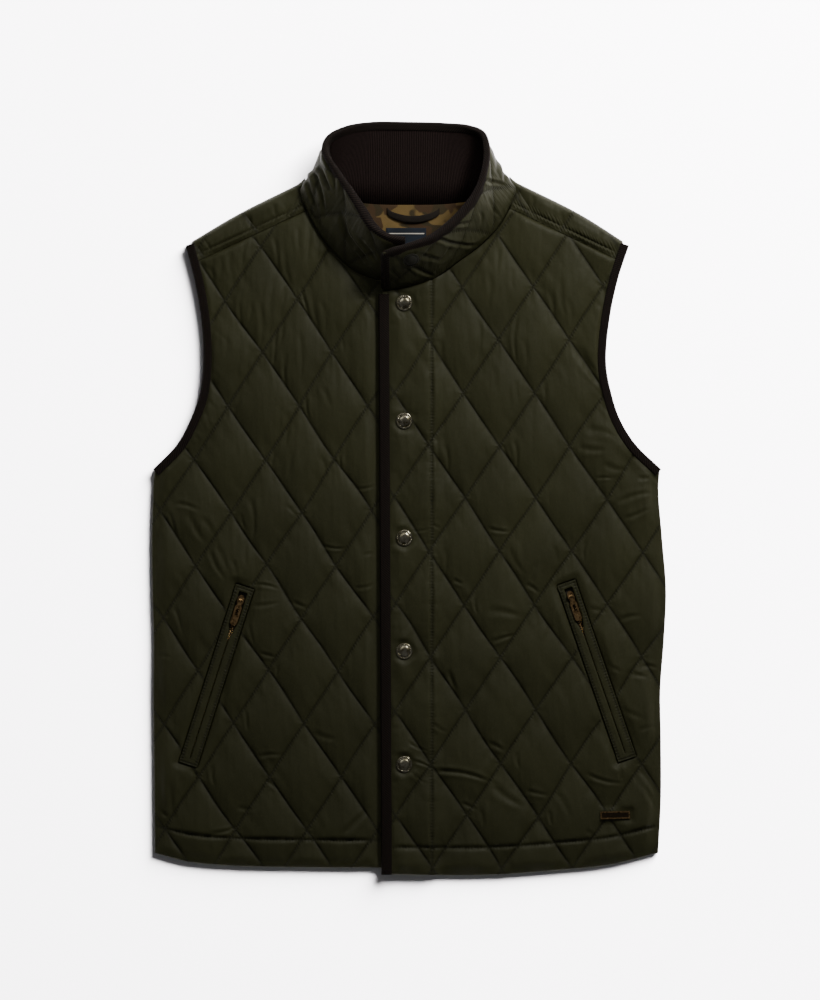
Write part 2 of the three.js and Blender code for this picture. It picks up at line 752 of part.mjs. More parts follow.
// The welt's slit is wide at the slider and closes towards the bottom.
function slitOutline() {
  const top = WELT.length / 2 - WELT.slitInset;
  const half = WELT.slitTop / 2;
  const low = WELT.slitEnd / 2;
  const closing = low + WELT.slitEase;
  const open = SLIDER.length + PULL.length + WELT.slitBelow;
  return [
    { x: -low, y: -top },
    { x: low, y: -top },
    { x: closing, y: top - open },
    { x: half, y: top - open * WELT.slitFull },
    { x: half, y: top },
    { x: -half, y: top },
    { x: -half, y: top - open * WELT.slitFull },
    { x: -closing, y: top - open },
  ];
}

function weltGeometry() {
  const shape = new THREE.Shape(rectangle(WELT.width, WELT.length).map((p) => new THREE.Vector2(p.x, p.y)));
  shape.holes.push(new THREE.Path(slitOutline().map((p) => new THREE.Vector2(p.x, p.y))));
  const { bevel } = WELT;
  const geometry = new THREE.ExtrudeGeometry(shape, {
    depth: WELT.height - WELT.floor - 2 * bevel,
    bevelEnabled: true,
    bevelThickness: bevel,
    bevelSize: bevel,
    bevelOffset: -bevel,
    bevelSegments: 1,
  });
  return geometry.translate(0, 0, FRONT_FLOOR + WELT.floor + bevel);
}

function zipSolid() {
  const tape = prism(rectangle(ZIP.tapeWidth, ZIP.length), FRONT_FLOOR, FRONT_FLOOR + ZIP.tape);
  const half = ZIP.chainWidth / 2;
  const sunk = 0.1;
  const line = [
    { x: 0, y: WELT.slitInset + ZIP.endInset - WELT.length / 2 },
    { x: 0, y: SLIDER_Y + SLIDER.length / 2 },
  ];
  const chain = sweep(stationsAlong(line, level(FRONT_FLOOR + ZIP.tape - sunk), 1), [
    [-half, 0],
    [half, 0],
    [half * ZIP.taper, ZIP.chain + sunk],
    [-half * ZIP.taper, ZIP.chain + sunk],
  ]);
  return tape.add(chain);
}

// The slider's body is a rounded shield, with two lugs that carry the pull's pin.
function sliderSolid() {
  const half = SLIDER.width / 2;
  const shield = [
    { x: -half * SLIDER.tail, y: -SLIDER.length / 2 },
    { x: half * SLIDER.tail, y: -SLIDER.length / 2 },
    { x: half, y: -SLIDER.length / 4 },
    { x: half, y: SLIDER.length / 4 },
    { x: half * SLIDER.nose, y: SLIDER.length / 2 },
    { x: -half * SLIDER.nose, y: SLIDER.length / 2 },
    { x: -half, y: SLIDER.length / 4 },
    { x: -half, y: -SLIDER.length / 4 },
  ];
  let body = prism(shield, SLIDER_Z, SLIDER_Z + SLIDER.height);
  const inner = half - SLIDER.lugWidth;
  const root = SLIDER_Z + SLIDER.height - SLIDER.lugRoot;
  for (const hand of [-1, 1]) {
    const lug = [
      { x: hand * inner, y: -SLIDER.lugLength / 2 },
      { x: hand * half, y: -SLIDER.lugLength / 2 },
      { x: hand * half, y: SLIDER.lugLength / 2 },
      { x: hand * inner, y: SLIDER.lugLength / 2 },
    ];
    body = body.add(prism(lug, root, PIN_Z + SLIDER.pin + SLIDER.lugWall));
  }
  const pinLength = SLIDER.width - 2 * SLIDER.pinInset;
  const pin = new THREE.CylinderGeometry(SLIDER.pin, SLIDER.pin, pinLength, 12).rotateZ(Math.PI / 2);
  return body.add(solidOf(pin.translate(0, 0, PIN_Z))).translate([0, SLIDER_Y, 0]);
}

// The pull turns on the pin by its eye. Its plate has a window and lies just clear of the welt.
function pullSolid() {
  const [neck, wide] = [PULL.neck / 2, PULL.width / 2];
  const shoulder = KNUCKLE + PULL.neckLength;
  const { corner, flare, window: opening } = PULL;
  const outline = [
    { x: -neck, y: 0 },
    { x: -neck, y: -shoulder },
    { x: -wide, y: -shoulder - flare },
    { x: -wide, y: -PULL.length + corner },
    { x: -wide + corner, y: -PULL.length },
    { x: wide - corner, y: -PULL.length },
    { x: wide, y: -PULL.length + corner },
    { x: wide, y: -shoulder - flare },
    { x: neck, y: -shoulder },
    { x: neck, y: 0 },
  ];
  const low = WELT_Z + GAP - PIN_Z;
  const knuckle = new THREE.CylinderGeometry(KNUCKLE, KNUCKLE, 2 * neck, 16).rotateZ(Math.PI / 2);
  const bore = new THREE.CylinderGeometry(PULL.eye, PULL.eye, 4 * neck, 16).rotateZ(Math.PI / 2);
  const windowY = -shoulder - opening.below - opening.length / 2;
  const window = rectangle(opening.width, opening.length).map((p) => ({ x: p.x, y: p.y + windowY }));
  return prism(outline, low, low + PULL.thickness)
    .subtract(prism(window, -OVER, OVER))
    .add(solidOf(knuckle))
    .subtract(solidOf(bore))
    .translate([0, SLIDER_Y, PIN_Z]);
}

// Small hard pieces

function snapGeometry() {
  const { radius, rim, ledge, rise, dome } = SNAP;
  const profile = [new THREE.Vector2(0, 0), new THREE.Vector2(radius, 0), new THREE.Vector2(radius, rim)];
  const steps = 3;
  for (let k = 0; k < steps; k++) {
    const angle = (k / steps) * (Math.PI / 2);
    const out = (radius - ledge) * Math.cos(angle);
    profile.push(new THREE.Vector2(out, rim + rise + dome * Math.sin(angle)));
  }
  profile.push(new THREE.Vector2(0, rim + rise + dome));
  return new THREE.LatheGeometry(profile, 16).rotateX(Math.PI / 2);
}

function plateSolid(grow = 0) {
  const outline = rectangle(PLATE.length + 2 * grow, PLATE.width + 2 * grow);
  const low = FRONT_FLOOR + PLATE.seat;
  const high = low + PLATE.height;
  const { rim, recess } = PLATE;
  const field = rectangle(PLATE.length - 2 * rim, PLATE.width - 2 * rim);
  const solid = grow
    ? prism(outline, low - GAP, OVER)
    : prism(outline, low, high).subtract(prism(field, high - recess, high + recess));
  return solid.rotate([0, 0, PLATE.turn]).translate([PLATE.x, PLATE.y, 0]);
}

function hangerLoopSolid() {
  const width = LOOP.right - LOOP.left;
  const stations = [];
  const steps = 10;
  for (let k = 0; k <= steps; k++) {
    const t = k / steps;
    const dip = Math.pow(Math.sin(Math.PI * t), LOOP.fullness);
    const at = new THREE.Vector3(
      LOOP.left + width * t,
      LOOP.y - LOOP.drop * dip,
      LINING_TOP + GAP + LOOP.stand * Math.sin(Math.PI * t),
    );
    stations.push({ at, out: new THREE.Vector3(0, 1, 0), up: new THREE.Vector3(0, 0, 1) });
  }
  const half = LOOP.width / 2;
  return sweep(stations, [
    [-half, 0],
    [half, 0],
    [half, LOOP.thickness],
    [-half, LOOP.thickness],
  ]);
}

// Body panels

function lineAtHem(hem, x) {
  for (let n = 1; n < hem.length; n++) {
    const [a, b] = [hem[n - 1], hem[n]];
    if (x >= a.x && x <= b.x) return mix(a.y, b.y, (x - a.x) / (b.x - a.x));
  }
  return x < hem[0].x ? hem[0].y : hem[hem.length - 1].y;
}

function hemStitching(hem) {
  return hem.map((p) => ({ x: p.x, y: p.y + HEM_DEPTH }));
}

const pocketWindow = (pocket, clear) =>
  inPocket(pocket, rectangle(WELT.width + 2 * clear, WELT.length + 2 * clear));

const closedLine = (points) => [...points, points[0]];

function frontRight() {
  const side = edges.left;
  const window = pocketWindow(POCKETS[0], GAP);
  const outline = [
    ...hemRightFront,
    new THREE.Vector3(UNDERLAP_X, NECK_SEAM_RIGHT_FRONT[5].y - UNDERLAP.neckDrop, 0),
    ...[...neckRightFront].reverse(),
    ...[...armholeToSeam("left")].reverse(),
    ...[...side.side].reverse().slice(1, -1),
  ];
  const cover = (x) => 1 - ease((x - UNDERLAP.full) / (UNDERLAP.thin - UNDERLAP.full));
  const borders = [
    { line: hemRightFront, cloth: 2.4, reach: 12 },
    { line: neckRightFront, cloth: 2.2, reach: 9 },
    { line: side.shoulderSeam, cloth: 2.2, reach: 9 },
    { line: side.side, cloth: 1.6, reach: 16 },
    { line: closedLine(window), cloth: 3, reach: 9 },
    { line: armholeToSeam("left"), cloth: 4.4, reach: 12 },
  ];
  const { margin, right, low, high } = UNDERLAP;
  const lapped = [
    { x: LAP_EDGE[0].x - margin, y: low },
    { x: right, y: low },
    { x: right, y: high },
    { x: LAP_EDGE[1].x - margin, y: high },
  ];
  return quiltedPanel({ outline, lattice: RIGHT_LATTICE, windows: [window], borders, cover })
    .subtract(prism(lapped, LAP_FLOOR - GAP, OVER))
    .subtract(stitchWedge(hemStitching(hemRightFront), level(0)))
    .subtract(armholeBinding("left", BINDING, FRONT_FLOOR, GAP, HEADROOM));
}

// The room under the left front's lap, which closes where the underlap ends.
function underlapRoom() {
  const { low, high } = LAP_STEP;
  const line = [{ x: 0, y: BEYOND }, { x: 0, y: -BEYOND }];
  return sweep(stationsAlong(line, level(0), 1), [
    [-BEYOND, -OVER],
    [high, -OVER],
    [high, FRONT_FLOOR],
    [mix(low, high, 0.5), (FRONT_FLOOR + LAP_FLOOR) / 2],
    [low, LAP_FLOOR],
    [-BEYOND, LAP_FLOOR],
  ]);
}

function frontLeft() {
  const side = edges.right;
  const window = pocketWindow(POCKETS[1], GAP);
  const outline = [
    ...hemLeftFront,
    ...side.side.slice(1),
    ...armholeToSeam("right").slice(1),
    ...[...neckLeftFront].reverse(),
  ];
  const { low, high } = LAP_STEP;
  const lift = (x) => (LAP_FLOOR - FRONT_FLOOR) * (1 - ease((x - low) / (high - low)));
  const borders = [
    { line: hemLeftFront, cloth: 2.6, reach: 12 },
    { line: neckLeftFront, cloth: 2.2, reach: 9 },
    { line: side.shoulderSeam, cloth: 2.2, reach: 9 },
    { line: side.side, cloth: 1.6, reach: 16 },
    { line: closedLine(window), cloth: 3, reach: 9 },
    { line: armholeToSeam("right"), cloth: 4.4, reach: 12 },
    { line: LAP_EDGE, cloth: 4.4, reach: 12 },
  ];
  let panel = quiltedPanel({ outline, lattice: LEFT_LATTICE, windows: [window], borders, lift });
  panel = panel.subtract(underlapRoom());
  const placketLine = [
    { x: PLACKET_LINE_X, y: lineAtHem(hemLeftFront, PLACKET_LINE_X) },
    { x: PLACKET_LINE_X, y: NECK_SEAM_LEFT_FRONT[2].y },
  ];
  panel = panel.subtract(stitchWedge(placketLine, lift));
  panel = panel.subtract(stitchWedge(hemStitching(hemLeftFront), lift));
  for (const y of SNAP.ys) panel = panel.subtract(seatCup(SNAP.radius, SNAP.x, y, SNAP_SEAT - GAP));
  panel = panel.subtract(plateSolid(PLATE.clear));
  panel = panel.subtract(armholeBinding("right", BINDING, FRONT_FLOOR, GAP, HEADROOM));
  return panel.subtract(sweep(edgeBindingStations(GAP), bindingSection(BINDING, GAP, HEADROOM)));
}

// The back lies flat, and its shoulders are folded forward on top of it as far as the shoulder seams.
function backSolid() {
  const outline = [
    ...curve(HEM_BACK, 10),
    ...edges.right.side.slice(1),
    ...edges.right.armhole.slice(1),
    ...edges.right.shoulderFold.slice(1),
    ...neckBack.slice(1),
    ...[...edges.left.shoulderFold].reverse().slice(1),
    ...[...edges.left.armhole].reverse().slice(1),
    ...[...edges.left.side].reverse().slice(1, -1),
  ];
  const bevel = 1.2;
  const shape = new THREE.Shape(outline.map((p) => new THREE.Vector2(p.x, p.y)));
  const slab = new THREE.ExtrudeGeometry(shape, {
    depth: BACK_CLOTH - 2 * bevel,
    bevelEnabled: true,
    bevelThickness: bevel,
    bevelSize: bevel,
    bevelOffset: -bevel,
    bevelSegments: 1,
  });
  let back = solidOf(slab.translate(0, 0, bevel));
  for (const side of ["right", "left"]) back = back.add(forwardShoulder(side));
  for (const side of ["right", "left"]) {
    back = back.subtract(armholeBinding(side, BACK_BINDING, 0, GAP));
    back = back.subtract(armholeBinding(side, BINDING, FRONT_FLOOR, GAP, HEADROOM));
  }
  return largest(back);
}

function forwardShoulder(side) {
  const { shoulderFold, shoulderSeam } = edges[side];
  const hand = side === "right" ? 1 : -1;
  const shift = (p) => new THREE.Vector3(p.x + hand * 0.1, p.y + GAP + 0.1, 0);
  const outline = [...shoulderFold, ...[...shoulderSeam].reverse().map(shift)];
  const ordered = hand > 0 ? outline : [...outline].reverse();
  const borders = [
    { line: shoulderSeam, cloth: 2.6, reach: 7 },
    { line: shoulderFold, cloth: 3.4, reach: 9 },
  ];
  const lattice = { ...SHOULDER_LATTICE, x: hand * SHOULDER_LATTICE.x };
  const top = quiltedPanel({ outline: ordered, lattice, borders });
  const crest = FRONT_FLOOR + 3.4;
  const roll = sweep(stationsAlong(shoulderFold, level(0), -hand), [
    [-5, 0.4],
    [-1.6, 0],
    [-0.4, 1.4],
    [0, crest / 2],
    [-0.4, crest - 1.6],
    [-1.6, crest - 0.4],
    [-5, crest - 1],
  ]);
  return top.add(roll);
}

function liningSolid() {
  const { centre } = LINING;
  const inwards = (p) => {
    const share = LINING.gap / Math.hypot(p.x - centre.x, p.y - centre.y);
    return { x: mix(p.x, centre.x, share), y: mix(p.y, centre.y, share) };
  };
  const top = neckBack
    .filter((p) => Math.abs(p.x) < LINING.reach)
    .map((p) => ({ x: p.x, y: p.y - LINING.gap - LINING.seam }));
  const around = [...neckRightFront.slice(1), ...neckLeftFront.filter((p) => p.x > 0).slice(0, -1)];
  const low = BACK_CLOTH + GAP;
  return prism([...top, ...around.map(inwards)], low, low + LINING.thickness);
}

// Assembly

const vest = new THREE.Group();

function add(name, material, solid, parent = vest) {
  const geometry = solid.isBufferGeometry ? solid : geometryOf(solid);
  const mesh = new THREE.Mesh(geometry, MATERIALS[material]);
  mesh.name = name;
  parent.add(mesh);
  return mesh;
}

const collarBindingGrown = sweep(collarBindingStations(GAP), bindingSection(COLLAR_BINDING, GAP));
const half = GAP / 2;

add("back", "quilt", backSolid());
add("front_right", "quilt", largest(frontRight()));
add("front_left", "quilt", largest(frontLeft()));
add("collar_shell", "quilt", largest(
  collarWall(() => half, (u, v) => half + shellThickness(u, v)).subtract(collarBindingGrown),
));
add("collar_facing", "corduroy", largest(
  collarWall(() => -half - COLLAR.facing, () => -half).subtract(collarBindingGrown),
));
add("binding_front_edge", "corduroy", sweep(edgeBindingStations(0), bindingSection(BINDING)));
add("binding_collar", "corduroy", sweep(collarBindingStations(0), bindingSection(COLLAR_BINDING)));
add("binding_armhole_left_front", "corduroy", armholeBinding("right", BINDING, FRONT_FLOOR));
add("binding_armhole_left_back", "corduroy", armholeBinding("right", BACK_BINDING, 0));
add("binding_armhole_right_front", "corduroy", armholeBinding("left", BINDING, FRONT_FLOOR));
add("binding_armhole_right_back", "corduroy", armholeBinding("left", BACK_BINDING, 0));

SNAP.ys.forEach((y, n) => {
  const snap = add("snap_" + (n + 1), "snap", solidOf(snapGeometry()));
  snap.position.set(SNAP.x, y, SNAP_SEAT);
});
const collarSeat = collarFrame(COLLAR_SNAP.u, COLLAR_SNAP.v);
const collarSnap = add("snap_collar", "snap", solidOf(snapGeometry()));
collarSnap.position.copy(collarSeat.at).addScaledVector(collarSeat.out, COLLAR_SNAP.seat);
collarSnap.quaternion.setFromUnitVectors(new THREE.Vector3(0, 0, 1), collarSeat.out);

for (const pocket of POCKETS) {
  const group = new THREE.Group();
  group.applyMatrix4(pocketMatrix(pocket));
  vest.add(group);
  const name = (piece) => "pocket_" + pocket.side + "_" + piece;
  add(name("welt"), "quilt", weltGeometry(), group);
  add(name("zip"), "zip", zipSolid(), group);
  add(name("slider"), "brass", sliderSolid(), group);
  add(name("pull"), "brass", pullSolid(), group);
}

add("hem_plate", "brass", plateSolid());
add("neck_lining", "lining", liningSolid());
const labelLow = LINING_TOP + GAP;
const label = prism(rectangle(LABEL.length, LABEL.width), labelLow, labelLow + LABEL.thickness);
add("neck_label", "label", label.translate([LABEL.x, LABEL.y, 0]));
add("hanger_loop", "strap", hangerLoopSolid());

// The frame's origin is under the middle of the whole vest.
const box = new THREE.Box3().setFromObject(vest, true);
const middle = box.getCenter(new THREE.Vector3());
vest.position.set(-middle.x, -middle.y, -box.min.z);

export default vest;
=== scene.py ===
"""A diamond-quilted vest with a corduroy collar and bindings, laid flat and seen from straight above.

Drawing sizes are millimetres: x to the viewer's right, y towards the collar, z up from the surface it lies on.
"Left" and "right" are the wearer's, so the left front lies on the viewer's right and laps over the other one.
"""
import math

import bpy
import numpy as np
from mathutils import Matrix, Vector
from mathutils.geometry import delaunay_2d_cdt


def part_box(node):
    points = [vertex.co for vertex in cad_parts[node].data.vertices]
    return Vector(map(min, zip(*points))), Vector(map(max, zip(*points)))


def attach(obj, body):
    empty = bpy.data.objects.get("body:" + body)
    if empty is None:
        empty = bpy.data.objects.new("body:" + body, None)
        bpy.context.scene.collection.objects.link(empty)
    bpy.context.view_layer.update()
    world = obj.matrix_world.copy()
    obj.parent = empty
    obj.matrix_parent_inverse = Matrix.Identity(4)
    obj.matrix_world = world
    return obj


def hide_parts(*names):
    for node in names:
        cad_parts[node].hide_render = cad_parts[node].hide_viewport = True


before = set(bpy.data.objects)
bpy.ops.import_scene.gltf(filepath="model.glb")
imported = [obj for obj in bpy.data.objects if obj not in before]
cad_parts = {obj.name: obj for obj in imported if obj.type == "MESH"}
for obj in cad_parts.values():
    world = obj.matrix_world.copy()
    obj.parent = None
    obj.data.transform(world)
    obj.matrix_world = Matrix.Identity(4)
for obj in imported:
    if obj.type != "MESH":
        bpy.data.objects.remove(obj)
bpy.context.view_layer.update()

MM = 0.001
SIDES = ("left", "right")
HAND = {"left": 1, "right": -1}
PLATE_AT = (216.3, -331.0)
plate_low, plate_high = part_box("hem_plate")
SHIFT = np.array([(plate_low[k] + plate_high[k]) / 2 - PLATE_AT[k] * MM for k in (0, 1)] + [0.0])

# Heights of the layers, and the padded wall's thickness where it is quilted down and where it is full
BACK_CLOTH = 4.2
STITCH_CLOTH = 1.5
PUFF_CLOTH = 6.6
LEAST_CLOTH = 0.9
FRONT_FLOOR = 4.5
LAP_FLOOR = 7.8
LINING_FLOOR, LINING_TOP = 4.72, 5.3

# Quilting: a lattice is one crossing's place and its lean
HALF_WIDTH, HALF_HEIGHT = 37.0, 55.5
DIAMOND_SIDE = math.hypot(HALF_WIDTH, HALF_HEIGHT)
ROW_SPACING = 2 * HALF_WIDTH * HALF_HEIGHT / DIAMOND_SIDE
LATTICE = {"left": (94.5, 167.5, 0.006), "right": (-116.3, 97.6, 0.02)}
BACK_LATTICE = (0.0, 40.0, 0.0)
PUCKERS = [(6.1, 5.0, 0.26), (10.7, 8.0, 0.34)]  # length along the line, reach beside it, height
PUCKER_SEED = {"left": 11, "right": 5}
FRONT_POINTS, BACK_POINTS = 42, 16  # mesh points along a diamond's side
OTHER_ROWS = 4000.0  # marks the rows that fall to the right on the seam map

# Stitches: how far apart they start, how much of that each one takes up, and how high they lie on the cloth
STITCH_PITCH = 3.3
WELT_PITCH = 2.6
STITCH_SHARE = 0.72
STITCH_RISE, QUILTING_RISE = 0.12, 0.1
ROW_SINK = (1.2, 4.5)  # cloth left under a row, and how far beside it the padding swells
THREAD, WELT_THREAD = 0.34, 0.28

# Outlines
SIDE_YS = [-371, -315, -252, -200, -147, -95, -42, 10, 33]
SIDE_XS = {
    "left": [261.5, 264.4, 264.4, 263.8, 267.6, 269.8, 265.8, 261.8, 263.2],
    "right": [-266.8, -267.2, -267.8, -268.3, -267.9, -269.3, -269.8, -268.4, -267.2],
}
ARMHOLE_YS = [33, 58, 83, 108, 142, 186, 230, 267]
ARMHOLE_XS = {
    "left": [263.2, 237.6, 221.9, 213.2, 206.9, 210.0, 219.0, 231.0],
    "right": [-267.2, -243.3, -229.6, -220.2, -216.0, -217.7, -225.1, -234.5],
}
SHOULDER_FOLD = {
    "left": [(231, 267), (179.6, 299.5), (112.6, 333)],
    "right": [(-234.5, 267), (-179.6, 299.5), (-116.4, 331)],
}
# Where the fold runs on, under the collar
UNDER_COLLAR = {
    "left": [(109.4, 335.6), (105.4, 339.4)],
    "right": [(-113.2, 333.8), (-109.0, 337.8)],
}
SHOULDER_SEAM = {
    "left": [(221.5, 250), (106, 305.4)],
    "right": [(-229.5, 246.5), (-108.2, 302.9)],
}
NECK_SEAM = {
    "right": [(-108.2, 302.9), (-96, 280.4), (-79.8, 257.8), (-60.9, 241), (-35.7, 230), (-5, 224.5)],
    "left": [(-30.5, 218.6), (-5, 222), (23, 231.5), (54.6, 251.5), (76.2, 266.9), (93.5, 284), (106, 305.4)],
}
NECK_SEAM_BACK = [(112.6, 333), (99, 322.5), (82, 315), (43, 308.7), (0, 307.5), (-43, 308.7), (-85, 315),
                  (-103, 322.5), (-116.4, 331)]
HEM = {
    "right": [(-266.8, -371), (-231.7, -380.1), (-184.9, -384.4), (-100, -386.2), (16.8, -386.6)],
    "left": [(-27.5, -393.6), (83, -394), (158.6, -388.8), (211, -383.3), (261.5, -371)],
}
HEM_BACK = [(-266.8, -371), (-184.9, -381), (0, -385), (184.9, -381), (261.5, -371)]
UNDERLAP_X = 16.8
LAP_EDGE = [(-27.5, -393.6), (-30.5, 218.6)]
PLACKET_X = 24.0
HEM_DEPTH = 29.0
SNAP_X = -5.0
SNAP_YS = [206.3, 82.4, -40.4, -159.1, -277.8]
SNAP_SEAT = 11.2
SNAP_RADIUS = 8.6
PLATE_HALF = (15.5, 4.0)
PLATE_SEAT = 3.45
PLATE_TURN = math.radians(1.5)
POCKETS = {"right": (-201.9, -184.8, -17.8), "left": (196.9, -179.8, 19.1)}
WELT_WIDTH, WELT_LENGTH = 20.0, 196.0
WELT_LOW, WELT_TOP = 7.0, 9.1
SLIT_TOP, SLIT_END = 8.6, 0.5
TAPE_WIDTH, TAPE_LENGTH = 15.0, 188.0
ARMHOLE_BINDING = 8.9
EDGE_BINDING = 11.0
MOUTH_CLOTH = 3.1  # thickness of the padding where a binding holds it
ROLL_OUT = 1.5  # how far the front edge's binding stands out from the cloth
TUCK = 4.0  # how far a panel's edge stays back from a binding's outside
WALE_PITCH, WALE_SLANT, WALE_RISE = 2.5, 0.8, 0.34

